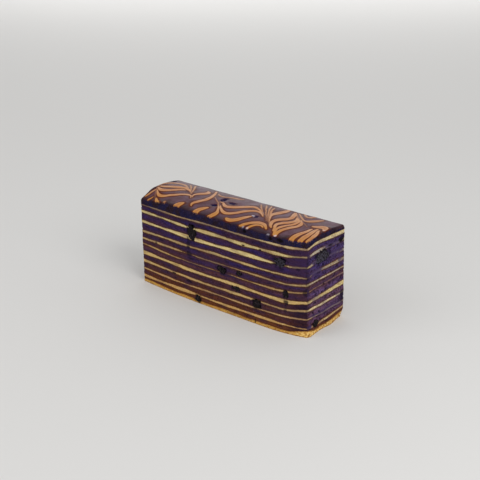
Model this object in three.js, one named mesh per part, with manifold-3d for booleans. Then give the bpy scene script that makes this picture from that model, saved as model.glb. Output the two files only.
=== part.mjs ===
// Lapis legit: a bar cut from a layered butter cake. Thin yellow and purple layers run
// through it from face to face, under a domed top that carries a feathered marbling.
// Pieces of prune are baked into the layers and show where the knife went through them.
// Millimetres, +Z up. The long cut face that shows best looks to -Y, the cut end to +X.

import * as THREE from 'three';
import Module from 'manifold-3d';
import { mergeVertices } from 'three/addons/utils/BufferGeometryUtils.js';

// Plan of the bar
const LENGTH = 182;
const WIDTH = 56;
const CORNER_RADII = { frontLeft: 2, frontRight: 1.3, backRight: 2, backLeft: 3.5 };
const SIDE_STEP = 7;
const ARC_STEPS = 3;
const SPINE_STEPS = 12;

// Yellow layers from the base up: how thick each is on the long cut face and behind it, the
// height of its middle on that face at the left end, halfway and at the right end, how far its
// right tip turns up, and how much higher it lies just behind the face and at the back.
// Purple fills the rest.
const YELLOW_LAYERS = [
  { thick: 2.9, behind: 2.9, left: 1.45, halfway: 1.45, right: 1.45, tip: 1.9, near: 0, far: 4.4 },
  { thick: 2.1, behind: 1.8, left: 6, halfway: 7.3, right: 7.5, tip: -0.5, near: 0, far: 3.6 },
  { thick: 1.7, behind: 1.6, left: 12.5, halfway: 14, right: 14.8, tip: 0.3, near: 0, far: 0.8 },
  { thick: 2.5, behind: 2.2, left: 20, halfway: 20.7, right: 21.3, tip: 1.5, near: 0.3, far: 1.2 },
  { thick: 3.1, behind: 3.4, left: 27.8, halfway: 28.5, right: 28.5, tip: 1.2, near: 0.6, far: 2.6 },
  { thick: 1.4, behind: 1.4, left: 36, halfway: 35.6, right: 37.9, tip: 0.6, near: 1, far: 2.2 },
  { thick: 1.5, behind: 1.5, left: 41.4, halfway: 43, right: 43.7, tip: 1.5, near: 0.3, far: 0.9 },
  { thick: 2, behind: 2.2, left: 47.9, halfway: 50.4, right: 50.7, tip: 0.3, near: 2.5, far: 2.5 },
  { thick: 3.2, behind: 2.6, left: 56.8, halfway: 58.4, right: 59.6, tip: 0.6, near: 2.2, far: 1.1 },
  { thick: 2.9, behind: 2.4, left: 66.4, halfway: 67.2, right: 67.9, tip: 1.5, near: 1.3, far: 0.2 },
  { thick: 1.7, behind: 2.9, left: 72, halfway: 74.7, right: 75.3, tip: 0.6, near: 2.2, far: 1.1 },
];
const WAVE = { rise: 0.25, shortest: 60, longest: 110, slant: 0.5 };
const SWELL = { share: 0.2, rate: 1.7 };

// Where the layers turn up at the right tip, and how soon they rise behind the long cut face
const TIP = { from: 72, to: 90, corner: -14 };
const RISE = { until: -16, power: 2 };

// The top: its crown, how far it falls to the long faces, and the drooping corner
const CROWN = 83.6;
const FRONT_FALL = 1.8;
const BACK_FALL = { left: 3.2, right: 1.6 };
const DROOP = { depth: 4, length: 45, width: 20 };

// The long faces ease back towards the ends, and the bar narrows to the left
const RIGHT_EASE = { from: 42, depth: 7.4, power: 3 };
const LEFT_EASE = { from: -14, depth: 4.5, power: 1.8 };
const BACK_TAPER = 2.4;

// The right end stands back a little at both edges, and leans back above a foot that is
// rounded off at the back
const END_TAPER = { front: 1.3, back: 0.6 };
const END_LEAN = 0.3;
const END_SHARPNESS = 4;
const FOOT = { height: 9, from: 4, depth: 3.2 };

// Unevenness of the cut faces
const RELIEF = { face: 0.35, end: 0.8, endBand: 1, pitch: 17, cross: 0.6 };

// Rounded rim of the top
const RIM_RADIUS = 2.4;
const RIM_INSETS = [0.15, 0.7, 2.4];
const DOME_INSETS = [7, 14, 21];

// Prune pieces: where each shows on its face, half its width and height, and its depth
const PRUNES = [
  { face: 'front', along: -27.8, height: 62.7, half: [4.8, 6.5], depth: 5 },
  { face: 'front', along: 66.2, height: 61, half: [5.4, 3.7], depth: 4 },
  { face: 'front', along: 5.2, height: 38.1, half: [4.2, 2.9], depth: 4 },
  { face: 'front', along: 23.8, height: 40.2, half: [2.8, 1.9], depth: 3 },
  { face: 'front', along: 71.8, height: 34.6, half: [2.7, 3.2], depth: 4 },
  { face: 'front', along: 21, height: 25.8, half: [3.8, 2], depth: 3.5 },
  { face: 'front', along: 42.4, height: 18.2, half: [4.1, 3.6], depth: 4 },
  { face: 'front', along: -22.2, height: 4.1, half: [2.9, 3.2], depth: 3.5 },
  { face: 'end', along: -6, height: 63.6, half: [9, 4.6], depth: 4.5 },
  { face: 'end', along: -15.4, height: 8.2, half: [3.3, 3], depth: 3.5 },
  { face: 'back', along: -52, height: 46, half: [4, 3.2], depth: 4.5 },
  { face: 'back', along: -8, height: 60.5, half: [3.6, 4.4], depth: 4.5 },
  { face: 'back', along: 36, height: 24.5, half: [4.2, 2.8], depth: 4 },
  { face: 'back', along: 63, height: 53, half: [3, 3.2], depth: 3.5 },
  { face: 'far_end', along: 6, height: 33.5, half: [3.6, 3], depth: 4 },
];
const PRUNE_DETAIL = 1;
const PRUNE_LUMPS = { share: 0.16, across: 2.6, up: 2.2 };
const PRUNE_SUNK = 0.25;
const POCKET_CLEARANCE = 0.35;
const FACE_TURN = { front: 0, end: Math.PI / 2, back: Math.PI, far_end: -Math.PI / 2 };

const SPONGE = { roughness: 0.85, metalness: 0 };
const FINISHES = {
  base: new THREE.MeshStandardMaterial({ color: 0xc98a35, ...SPONGE }),
  yellow: new THREE.MeshStandardMaterial({ color: 0xd9b56a, ...SPONGE }),
  purple: new THREE.MeshStandardMaterial({ color: 0x33223f, ...SPONGE }),
  marbled: new THREE.MeshStandardMaterial({ color: 0x5a4038, roughness: 0.5, metalness: 0 }),
  prune: new THREE.MeshStandardMaterial({ color: 0x17141c, roughness: 0.45, metalness: 0 }),
};

const FULL_TURN = 2 * Math.PI;
const HALF_LENGTH = LENGTH / 2;
const HALF_WIDTH = WIDTH / 2;
const SPINE = HALF_LENGTH - HALF_WIDTH;
const TOP_SURFACE = 2 * YELLOW_LAYERS.length;

const wasm = await Module();
wasm.setup();

// A repeatable number from 0 to 1 for a pair of counters
function chance(a, b) {
  const value = Math.sin(a * 12.9898 + b * 78.233) * 43758.5453;
  return value - Math.floor(value);
}

// 0 up to `from`, easing to 1 at `to`
function ease(value, from, to) {
  return THREE.MathUtils.smoothstep(value, from, to);
}

// Rounded rectangle seen from above, anticlockwise from the front left corner
function planOutline() {
  const path = new THREE.Path();
  const corners = [
    { x: -1, y: -1, radius: CORNER_RADII.frontLeft, start: Math.PI },
    { x: 1, y: -1, radius: CORNER_RADII.frontRight, start: 1.5 * Math.PI },
    { x: 1, y: 1, radius: CORNER_RADII.backRight, start: 0 },
    { x: -1, y: 1, radius: CORNER_RADII.backLeft, start: 0.5 * Math.PI },
  ];
  for (const { x, y, radius, start } of corners) {
    const centreX = x * (HALF_LENGTH - radius);
    const centreY = y * (HALF_WIDTH - radius);
    path.absarc(centreX, centreY, radius, start, start + Math.PI / 2);
  }
  path.closePath();
  const points = [];
  for (const curve of path.curves) {
    const steps = curve.isEllipseCurve ? ARC_STEPS : Math.round(curve.getLength() / SIDE_STEP);
    points.push(...curve.getPoints(steps).slice(0, -1));
  }
  return points;
}

// Points along the middle of the bar, where the surfaces between the layers crest
function spineLine() {
  const left = new THREE.Vector2(-SPINE, 0);
  const right = new THREE.Vector2(SPINE, 0);
  return new THREE.LineCurve(left, right).getPoints(SPINE_STEPS);
}

const OUTLINE = planOutline();
const SPINE_LINE = spineLine();

// How far the front face stands back from a straight line at x
function frontEase(x) {
  const right = Math.max(0, (x - RIGHT_EASE.from) / (HALF_LENGTH - RIGHT_EASE.from));
  const left = Math.max(0, (LEFT_EASE.from - x) / (HALF_LENGTH + LEFT_EASE.from));
  return RIGHT_EASE.depth * right ** RIGHT_EASE.power + LEFT_EASE.depth * left ** LEFT_EASE.power;
}

// Moves a point of the straight plan to where the eased faces put it at height z
function settle(x, y, z) {
  const toFront = THREE.MathUtils.clamp(0.5 - y / WIDTH, 0, 1);
  const toLeft = THREE.MathUtils.clamp(0.5 - x / LENGTH, 0, 1);
  const atEnd = THREE.MathUtils.clamp(x / HALF_LENGTH, 0, 1) ** END_SHARPNESS;
  const low = 1 - ease(z, 0, FOOT.height);
  const foot = FOOT.depth * low * atEnd * ease(y, FOOT.from, HALF_WIDTH);
  const taper = THREE.MathUtils.lerp(END_TAPER.back, END_TAPER.front, toFront);
  const backX = (taper + END_LEAN * (1 - low)) * atEnd + foot;
  const backY = frontEase(x) * toFront - BACK_TAPER * toLeft * (1 - toFront);
  return new THREE.Vector2(x - backX, y + backY);
}

// Shallow unevenness of the cut faces, always inwards, rougher on the ends
function reliefDepth(surface, x, y) {
  const along = (x + y) / RELIEF.pitch;
  const ripple = Math.sin(along + FULL_TURN * chance(surface, 1));
  const cross = Math.cos(RELIEF.cross * along + FULL_TURN * chance(surface, 2));
  const depth = Math.abs(x) > HALF_LENGTH - RELIEF.endBand ? RELIEF.end : RELIEF.face;
  return depth * (0.5 + 0.5 * ripple * cross);
}

// A point of the plan, moved `inset` millimetres in towards the spine of the bar
function inward(point, inset) {
  const spineX = THREE.MathUtils.clamp(point.x, -SPINE, SPINE);
  const inside = new THREE.Vector2(spineX - point.x, -point.y);
  return point.clone().add(inside.setLength(inset));
}

// Height of the domed top over a point of the straight plan
function topHeight(x, y) {
  const backFall = THREE.MathUtils.lerp(BACK_FALL.left, BACK_FALL.right, 0.5 + x / LENGTH);
  const fall = (y < 0 ? FRONT_FALL : backFall) * (y / HALF_WIDTH) ** 2;
  const atLeft = 1 - ease(x, -HALF_LENGTH, DROOP.length - HALF_LENGTH);
  const atFront = 1 - ease(y, -HALF_WIDTH, DROOP.width - HALF_WIDTH);
  return CROWN - fall - DROOP.depth * atLeft * atFront;
}

// How much higher a layer lies here than along the long cut face. The base turns up at the
// front corner only, because it stands on the rest of its width.
function lift(layer, x, y) {
  const { tip, near, far } = YELLOW_LAYERS[layer];
  const across = (0.5 + y / WIDTH) ** RISE.power;
  const atCorner = layer === 0 ? 1 - ease(y, -HALF_WIDTH, TIP.corner) : 1;
  const turnedUp = tip * ease(x, TIP.from, TIP.to) * atCorner;
  return turnedUp + near * ease(y, -HALF_WIDTH, RISE.until) + (far - near) * across;
}

// Height of one surface over a point of the straight plan. The surfaces below and above
// a yellow layer rise and fall together, while the layer swells and thins a little.
function surfaceHeight(surface, x, y) {
  if (surface === 0) return 0;
  if (surface === TOP_SURFACE) return topHeight(x, y);
  const layer = Math.floor(surface / 2);
  const { thick, behind, left, halfway, right } = YELLOW_LAYERS[layer];
  const along = x / HALF_LENGTH;
  const bend = (0.5 * (left + right) - halfway) * along ** 2;
  const middle = halfway + 0.5 * (right - left) * along + bend;
  const pitch = THREE.MathUtils.lerp(WAVE.shortest, WAVE.longest, chance(layer, 3));
  const turn = FULL_TURN * ((x + WAVE.slant * y) / pitch + chance(layer, 4));
  const wave = layer === 0 ? 0 : WAVE.rise * Math.sin(turn);
  const side = surface % 2 ? 0.5 : -0.5;
  const thickness = THREE.MathUtils.lerp(thick, behind, ease(y, -HALF_WIDTH, RISE.until));
  const swollen = side * thickness * (1 + SWELL.share * Math.sin(SWELL.rate * turn));
  return middle + swollen + wave + lift(layer, x, y);
}

// A point of the straight plan, placed on a surface between layers
function place(surface, at, drop = 0) {
  const z = surfaceHeight(surface, at.x, at.y) - drop;
  const plan = settle(at.x, at.y, z);
  return new THREE.Vector3(plan.x, plan.y, z);
}

// Closed loop of points where a surface meets the faces of the bar
function ring(surface, inset = 0, drop = 0) {
  return OUTLINE.map((point) => {
    const depth = reliefDepth(surface, point.x, point.y);
    return place(surface, inward(point, inset + depth), drop);
  });
}

function crest(surface) {
  return SPINE_LINE.map((point) => place(surface, point));
}

// Triangles that close a ring over its crest: `first` and `crestFirst` are their first points
function capTriangles(first, crestFirst) {
  const nearest = OUTLINE.map((point) => {
    const share = THREE.MathUtils.clamp((point.x + SPINE) / (2 * SPINE), 0, 1);
    return crestFirst + Math.round(share * SPINE_STEPS);
  });
  return OUTLINE.flatMap((point, i) => {
    const next = (i + 1) % OUTLINE.length;
    const faces = [[first + i, first + next, nearest[i]]];
    if (nearest[i] !== nearest[next]) faces.push([first + next, nearest[next], nearest[i]]);
    return faces;
  });
}

// Closed solid through a stack of rings, from the surface below to the surface above
function loft(rings, below, above) {
  const count = OUTLINE.length;
  const crests = [...crest(below), ...crest(above)];
  const positions = [...rings.flat(), ...crests].flatMap((p) => [p.x, p.y, p.z]);
  const index = [];
  for (let r = 0; r + 1 < rings.length; r += 1) {
    for (let i = 0; i < count; i += 1) {
      const low = r * count + i;
      const lowNext = r * count + ((i + 1) % count);
      index.push(low, lowNext, lowNext + count, low, lowNext + count, low + count);
    }
  }
  const crestFirst = rings.length * count;
  for (const [a, b, c] of capTriangles(0, crestFirst)) index.push(a, c, b);
  const upper = capTriangles(crestFirst - count, crestFirst + SPINE_LINE.length);
  index.push(...upper.flat());
  const geometry = new THREE.BufferGeometry();
  geometry.setAttribute('position', new THREE.Float32BufferAttribute(positions, 3));
  geometry.setIndex(index);
  return geometry;
}

// Rings over the rounded rim and up the dome of the top layer
function crownRings() {
  const rings = RIM_INSETS.map((inset) => {
    const rise = RIM_RADIUS - inset;
    return ring(TOP_SURFACE, inset, RIM_RADIUS - Math.sqrt(RIM_RADIUS ** 2 - rise ** 2));
  });
  return rings.concat(DOME_INSETS.map((inset) => ring(TOP_SURFACE, inset)));
}

// Where a point at a given place along a face and height lies in plan
function onFace(face, along, height) {
  const spots = {
    front: [along, -HALF_WIDTH],
    end: [HALF_LENGTH, along],
    back: [along, HALF_WIDTH],
    far_end: [-HALF_LENGTH, along],
  };
  const place = settle(...spots[face], height);
  return new THREE.Vector3(place.x, place.y, height);
}

// Lump with its cut side towards -Y; `grow` widens it into the pocket that holds it
function pruneLump(prune, number, grow) {
  const shape = new THREE.IcosahedronGeometry(1, PRUNE_DETAIL);
  shape.deleteAttribute('normal');
  shape.deleteAttribute('uv');
  const geometry = mergeVertices(shape);
  const position = geometry.getAttribute('position');
  const size = [prune.half[0] + grow, prune.depth + grow, prune.half[1] + grow];
  const phase = FULL_TURN * chance(number, 5);
  const point = new THREE.Vector3();
  for (let i = 0; i < position.count; i += 1) {
    point.fromBufferAttribute(position, i);
    const across = Math.sin(PRUNE_LUMPS.across * point.x + phase);
    const up = Math.cos(PRUNE_LUMPS.up * point.z + 2 * phase);
    point.multiplyScalar(1 + PRUNE_LUMPS.share * across * up);
    const y = point.y * size[1];
    position.setXYZ(i, point.x * size[0], grow > 0 ? y : Math.max(y, PRUNE_SUNK), point.z * size[2]);
  }
  return geometry;
}

function toSolid(geometry) {
  return new wasm.Manifold(new wasm.Mesh({
    numProp: 3,
    vertProperties: new Float32Array(geometry.getAttribute('position').array),
    triVerts: new Uint32Array(geometry.index.array),
  }));
}

function toGeometry(solid) {
  const mesh = solid.getMesh();
  const geometry = new THREE.BufferGeometry();
  geometry.setAttribute('position', new THREE.BufferAttribute(mesh.vertProperties, 3));
  geometry.setIndex(new THREE.BufferAttribute(mesh.triVerts, 1));
  return geometry;
}

function addMesh(parent, name, geometry, material) {
  geometry.computeVertexNormals();
  const mesh = new THREE.Mesh(geometry, material);
  mesh.name = name;
  parent.add(mesh);
  return mesh;
}

// Prune pieces in their places, each with the pocket that the layers leave for it
function addPrunes(parent) {
  return PRUNES.map((prune, number) => {
    const name = `prune_${String(number + 1).padStart(2, '0')}`;
    const mesh = addMesh(parent, name, pruneLump(prune, number, 0), FINISHES.prune);
    mesh.position.copy(onFace(prune.face, prune.along, prune.height));
    mesh.rotation.z = FACE_TURN[prune.face];
    mesh.updateMatrix();
    return toSolid(pruneLump(prune, number, POCKET_CLEARANCE).applyMatrix4(mesh.matrix));
  });
}

// A layer without the room that the prune pieces in it take up
function withPockets(geometry, pockets) {
  const whole = toSolid(geometry);
  const inIt = pockets.filter((pocket) => whole.intersect(pocket).volume() > 0);
  if (!inIt.length) return geometry;
  return toGeometry(inIt.reduce((rest, pocket) => rest.subtract(pocket), whole));
}

// The layers from the base up: yellow and purple in turn, then the marbled top
function addLayers(parent, pockets) {
  for (let surface = 0; surface < TOP_SURFACE; surface += 1) {
    const isTop = surface === TOP_SURFACE - 1;
    const number = String(Math.floor(surface / 2) + 1).padStart(2, '0');
    const kind = surface % 2 ? 'purple' : 'yellow';
    const rings = [ring(surface), ...(isTop ? crownRings() : [ring(surface + 1)])];
    const whole = loft(rings, surface, surface + 1);
    const name = isTop ? 'marbled_top' : `${kind}_layer_${number}`;
    const finish = isTop ? FINISHES.marbled : FINISHES[surface === 0 ? 'base' : kind];
    addMesh(parent, name, withPockets(whole, pockets), finish);
  }
}

const lapisLegit = new THREE.Group();
addLayers(lapisLegit, addPrunes(lapisLegit));

export default lapisLegit;
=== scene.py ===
"""Dresses a bar of lapis legit: crumbly yellow and purple layers, prune pieces in the cut
faces and a domed top with feathered marbling. Sizes are millimetres in the frame of the
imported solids, unless a name says otherwise."""

import logging
import math
from dataclasses import dataclass
from enum import Enum, IntEnum
from functools import cached_property

import bpy
import numpy as np
from mathutils import Matrix, noise


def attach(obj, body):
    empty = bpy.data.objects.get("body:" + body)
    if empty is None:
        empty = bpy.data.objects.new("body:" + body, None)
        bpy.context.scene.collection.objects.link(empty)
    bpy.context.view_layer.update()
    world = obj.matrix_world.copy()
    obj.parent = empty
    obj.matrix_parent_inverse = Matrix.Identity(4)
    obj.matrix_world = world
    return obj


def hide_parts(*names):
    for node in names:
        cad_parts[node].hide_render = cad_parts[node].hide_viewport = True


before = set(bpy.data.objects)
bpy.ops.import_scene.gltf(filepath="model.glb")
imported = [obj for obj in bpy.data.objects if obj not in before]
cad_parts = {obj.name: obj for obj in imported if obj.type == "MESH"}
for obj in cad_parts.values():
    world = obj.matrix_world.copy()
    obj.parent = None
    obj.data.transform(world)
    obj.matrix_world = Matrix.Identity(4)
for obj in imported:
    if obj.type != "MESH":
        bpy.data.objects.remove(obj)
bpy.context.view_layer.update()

LOG = logging.getLogger("lapis_legit")
MM = 0.001
BODY = "root"
FULL_TURN = 2 * math.pi
SMOOTH_ANGLE = math.radians(50)
# How squarely a point has to look outward to belong to a face
FACING = 0.6
# Keeps the sets of random lumps clear of each other
LUMPS_APART = 17.31
CHANCE_STEPS = (12.9898, 78.233)
CHANCE_SPREAD = 43758.5453
NEAR_NOTHING = 1e-9
# The mean of a noise texture
NOISE_MIDDLE = 0.5
# Sockets of a node that mixes two colours
MIX_SHARE, MIX_UNDER, MIX_OVER, MIX_RESULT = 0, 6, 7, 2

Array = np.ndarray
Span = tuple[float, float]
Ramp = tuple[tuple[float, str], ...]


class Draw(IntEnum):
    """What a repeatable number is drawn for."""

    WAVE_PITCH = 3
    WAVE_START = 4
    PRUNE_LUMPS = 5


class Lumps(IntEnum):
    """Sets of random lumps, one for each unevenness, so that no two go together.

    The set for the prune pieces is the first of a run, one for each piece.
    """

    FRAY = 1
    FINE_FRAY = 2
    BROAD = 3
    CRUMB = 4
    FINE_CRUMB = 5
    PIT = 6
    SPOT_EDGE = 7
    WIPED = 8
    POCKET_EDGE = 9
    PIT_EDGE = 10
    WOBBLE_X = 11
    WOBBLE_Y = 12
    HOLLOW_EDGE = 13
    FOOT = 14
    FINE_POCKET_EDGE = 15
    CHIP = 16
    CORNER = 17
    RIPPLE = 21
    FINE_RIPPLE = 22
    PRUNE = 31


def chance(a: int, b: int) -> float:
    """Gives a repeatable number from 0 to 1 for a pair of counters.

    Args:
        a: First counter.
        b: Second counter.

    Returns:
        The number, the same one that the solids use.
    """
    first, second = CHANCE_STEPS
    return math.sin(a * first + b * second) * CHANCE_SPREAD % 1.0


def ease(value: Array | float, low: float, high: float) -> Array:
    """Eases from 0 at `low` to 1 at `high`.

    Args:
        value: Where to look.
        low: Where the rise starts.
        high: Where it ends.

    Returns:
        Numbers from 0 to 1.
    """
    share = np.clip((value - low) / (high - low), 0.0, 1.0)
    return share * share * (3.0 - 2.0 * share)


def blend(start: Array | float, end: Array | float, share: Array | float) -> Array:
    """Goes from `start` to `end` as `share` goes from 0 to 1.

    Args:
        start: Value at 0.
        end: Value at 1.
        share: How far to go.

    Returns:
        The values in between.
    """
    return start + (end - start) * share


def grain(points: Array, pitch: float, lumps: int) -> Array:
    """Smooth random heights over points in space.

    Args:
        points: Points, one a row.
        pitch: How far apart the lumps are.
        lumps: Which set of lumps.

    Returns:
        A height from -1 to 1 for each point.
    """
    spots = points / pitch + LUMPS_APART * lumps
    return np.array([noise.noise(spot) for spot in spots.tolist()])


def linear(colour: str) -> tuple[float, float, float, float]:
    """Turns an sRGB hex colour to linear light.

    Args:
        colour: Six hex digits after a hash.

    Returns:
        Red, green, blue and alpha, as shader sockets take them.
    """
    parts = [int(colour[i:i + 2], 16) / 255 for i in (1, 3, 5)]
    light = [c / 12.92 if c <= 0.04045 else ((c + 0.055) / 1.055) ** 2.4 for c in parts]
    return (*light, 1.0)


class Face(Enum):
    """The four upright faces of the bar, by their outward direction in plan."""

    FRONT = (0, -1)
    END = (1, 0)
    BACK = (0, 1)
    FAR_END = (-1, 0)

    def along(self, x: Array, y: Array) -> Array:
        """Gives the place along this face of points in plan."""
        return y if self.value[0] else x

    def faces(self, nx: Array, ny: Array) -> Array:
        """Says which outward directions in plan belong to this face."""
        return self.value[0] * nx + self.value[1] * ny > FACING

    @property
    def turn(self) -> float:
        """Angle in plan from the front face to this one."""
        return math.atan2(self.value[0], -self.value[1])


@dataclass(frozen=True)
class YellowLayer:
    """Thickness of a yellow layer on the front face and behind it, and its middle's height.

    `tip` is how far its right tip turns up, and `near` and `far` are how much higher it lies
    just behind the front face and at the back. `shares` gives places along the front face,
    each with the share of the thickness there.
    """

    thick: float
    behind: float
    left: float
    halfway: float
    right: float
    tip: float
    near: float
    far: float
    shares: tuple[tuple[float, float], ...] = ((0, 1),)

    def front_thickness(self, x: Array) -> Array:
        """Gives the thickness on the front face at places along it."""
        places, shares = zip(*self.shares)
        return self.thick * np.interp(x, places, shares)


YELLOW_LAYERS = (
    YellowLayer(2.9, 2.9, 1.45, 1.45, 1.45, 1.9, 0.0, 4.4),
    YellowLayer(2.1, 1.8, 6.0, 7.3, 7.5, -0.5, 0.0, 3.6, (
        (-88, 1.1), (-60, 1.25), (-45, 1.45), (-30, 1.3), (-18, 0.9), (5, 0.9), (20, 1.2),
        (40, 1.3), (55, 1.0), (70, 0.9), (80, 0.6))),
    YellowLayer(1.7, 1.6, 12.5, 14.0, 14.8, 0.3, 0.0, 0.8, ((-80, 1.1), (-40, 1), (60, 0.9))),
    YellowLayer(2.5, 2.2, 20.0, 20.7, 21.3, 1.5, 0.3, 1.2, (
        (-80, 1.05), (-62, 0.95), (-47, 0.7), (-25, 0.85), (10, 1), (35, 0.75), (80, 0.7))),
    YellowLayer(3.1, 3.4, 27.8, 28.5, 28.5, 1.2, 0.6, 2.6, (
        (-80, 1), (-40, 0.88), (30, 0.88), (60, 1.02), (80, 0.9))),
    YellowLayer(1.4, 1.4, 36.0, 35.6, 37.9, 0.6, 1.0, 2.2, (
        (-80, 1.15), (-45, 0.9), (-10, 0.75), (0, 0.4), (10, 0.35), (20, 0.8), (60, 1.1))),
    YellowLayer(1.5, 1.5, 41.4, 43.0, 43.7, 1.5, 0.3, 0.9, (
        (-80, 1.3), (-45, 1.2), (-36, 0.5), (-28, 0.45), (-20, 0.75), (10, 0.8), (40, 1.05),
        (60, 0.95), (80, 1.3))),
    YellowLayer(2.0, 2.2, 47.9, 50.4, 50.7, 0.3, 2.5, 2.5, (
        (-80, 0.95), (-30, 0.95), (10, 1.1), (40, 0.95), (58, 0.8), (80, 0.85))),
    YellowLayer(3.2, 2.6, 56.8, 58.4, 59.6, 0.6, 2.2, 1.1, (
        (-88, 0.68), (-66, 0.78), (-52, 1), (20, 0.98), (48, 1.02), (57, 0.75), (65, 0.16),
        (71, 0.2), (75, 0.45), (88, 0.42))),
    YellowLayer(2.9, 2.4, 66.4, 67.2, 67.9, 1.5, 1.3, 0.2, (
        (-88, 0.75), (-36, 0.74), (-25, 1), (15, 1.05), (40, 0.88), (62, 0.9), (72, 0.68),
        (88, 0.62))),
    YellowLayer(1.7, 2.9, 72.0, 74.7, 75.3, 0.6, 2.2, 1.1, (
        (-88, 0.8), (-40, 0.95), (0, 0.9), (45, 0.95), (57, 1.35), (65, 1.25), (69, 0.7),
        (74, 1.3), (88, 1.35))),
)
TOP_SURFACE = 2 * len(YELLOW_LAYERS)


@dataclass(frozen=True)
class Spot:
    """An oval place on an upright face: a prune's pocket, a torn pit, a stretch of painted shade or
    a smear.
    """

    face: Face
    along: float
    height: float
    wide: float
    tall: float
    depth: float = 0.0
    stain: float = 0.0
    smear: float = 0.0
    raggedness: float = 0.3
    fade: Span = (0.65, 1.2)

    def cover(self, plan: "Plan", z: Array, ragged: Array) -> Array:
        """Says how far points of the upright faces lie in this spot.

        Args:
            plan: The points in plan.
            z: Their heights.
            ragged: Random numbers that tear the spot's edge.

        Returns:
            1 in the spot, easing to 0 outside it.
        """
        across = (self.face.along(plan.x, plan.y) - self.along) / self.wide
        up = (z - self.height) / self.tall
        away = np.hypot(across, up) + self.raggedness * ragged
        return np.where(self.face.faces(plan.nx, plan.ny), 1.0 - ease(away, *self.fade), 0.0)


@dataclass(frozen=True)
class Prune:
    """A piece of prune: where it shows, half its size, its depth and how much painted sheen its
    flesh shows.
    """

    face: Face
    along: float
    height: float
    wide: float
    tall: float
    depth: float
    pale: float = 0.0


PRUNES = (
    Prune(Face.FRONT, -27.8, 62.7, 4.8, 6.5, 5),
    Prune(Face.FRONT, 66.2, 61, 5.4, 3.7, 4, 0.6),
    Prune(Face.FRONT, 5.2, 38.1, 4.2, 2.9, 4),
    Prune(Face.FRONT, 23.8, 40.2, 2.8, 1.9, 3),
    Prune(Face.FRONT, 71.8, 34.6, 2.7, 3.2, 4),
    Prune(Face.FRONT, 21, 25.8, 3.8, 2, 3.5),
    Prune(Face.FRONT, 42.4, 18.2, 4.1, 3.6, 4),
    Prune(Face.FRONT, -22.2, 4.1, 2.9, 3.2, 3.5),
    Prune(Face.END, -6, 63.6, 9, 4.6, 4.5, 0.8),
    Prune(Face.END, -15.4, 8.2, 3.3, 3, 3.5),
    Prune(Face.BACK, -52, 46, 4, 3.2, 4.5),
    Prune(Face.BACK, -8, 60.5, 3.6, 4.4, 4.5),
    Prune(Face.BACK, 36, 24.5, 4.2, 2.8, 4),
    Prune(Face.BACK, 63, 53, 3, 3.2, 3.5),
    Prune(Face.FAR_END, 6, 33.5, 3.6, 3, 4),
)

# Torn pits and stretches of painted shade: place along the face, height, half sizes, depth and
# painted shade
PITS = {
    Face.FRONT: (
        (-32, 52, 2.2, 6.5, 0.4, 0.7), (-31.5, 42.5, 3.6, 2.6, 0.5, 0.75),
        (-29, 38.6, 2.6, 1.1, 0.4, 0.7), (72, 27, 2.4, 2.2, 0.7, 0.85),
        (71.5, 21.5, 1.6, 4.5, 0.4, 0.45), (-32, 17, 3.6, 1.3, 0.5, 0.7),
        (-50, 19.6, 2.4, 0.8, 0.5, 0.8), (29, 66.4, 1.7, 0.8, 0.5, 0.85),
        (46.5, 66.6, 1.5, 0.8, 0.5, 0.85), (41, 2.4, 0.8, 2.4, 0.6, 0.8),
        (83, 57.6, 2.2, 0.9, 0.4, 0.8), (89, 38, 2.6, 3.6, 0.4, 0.75),
        (-72, 41.6, 1.6, 1.3, 0.3, 0.6), (66.5, 79.4, 2.8, 1.5, 0.9, 1.0),
        (30.6, 78.8, 1.8, 1.6, 0.8, 1.0), (57, 79, 1.6, 1.3, 0.8, 1.0), (92, 52, 3, 18, 0, 0.45),
        (92, 15, 3, 12, 0, 0.4), (-29, 55.2, 2.6, 2.4, 0, 0.5),
    ),
    Face.END: (
        (23, 70.8, 5.2, 2.8, 1.0, 1.0), (-2, 68, 2.2, 2.2, 0.6, 0.9),
        (6.5, 70.3, 4.2, 0.9, 0.5, 0.85), (-3.5, 39.4, 1.5, 1.6, 0.6, 0.8),
        (24, 21, 3.2, 6, 0.5, 0.85), (-27, 38.8, 3.4, 2.6, 0, 0.4), (-28, 44, 4, 34, 0, 0.4),
        (-14, 66.5, 4, 2.4, 0.5, 0.8), (5, 67, 2.6, 1.6, 0.4, 0.7),
    ),
}
# Purple that the knife dragged over yellow: place, height, half sizes and how much of it
SMEARS = {
    Face.FRONT: (
        (84, 60, 10, 1.9, 0.8), (86, 51, 8, 1.6, 0.4), (84, 21.6, 9, 1.6, 0.45),
        (84, 15, 8, 1.5, 0.35), (86, 7.4, 7, 1.5, 0.35), (-8, 74.4, 12, 1.5, 0.55),
        (-8, 50.2, 12, 1.5, 0.35), (58, 43.5, 9, 1.3, 0.35), (87, 62, 13, 17, 0.55),
        (-2, 42.6, 24, 1.5, 0.55), (-20, 34.6, 24, 1.5, 0.6), (12, 35, 12, 1.5, 0.9),
        (20, 74.8, 26, 1.5, 0.5), (-30, 74, 16, 1.5, 0.45), (-34, 49.8, 22, 1.7, 0.25),
        (-74, 72.6, 24, 1.6, 0.6), (66, 20.6, 26, 1.6, 0.35),
    ),
    Face.END: (
        (11, 70.8, 16, 2.6, 0.95), (0, 62, 28, 3, 0.95), (-14, 53, 10, 2.4, 0.95),
        (20, 54, 3, 2.4, 0.7), (4, 40.5, 34, 2, 0.45), (22, 23.6, 9, 2, 0.55),
        (4, 15.6, 30, 2, 0.8), (-27, 69.8, 3.4, 2.6, 0.95), (-27, 51.6, 4, 2.8, 0.95),
        (-27, 38.8, 3.4, 2.6, 0.9), (-25, 7.4, 5, 2.2, 0.95), (-16, 31, 7, 2.6, 0.55),
    ),
}
SPOTS = (
    *(Spot(face, *row) for face, table in PITS.items() for row in table),
    *(Spot(face, *row[:4], smear=row[4]) for face, table in SMEARS.items() for row in table),
)


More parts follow.
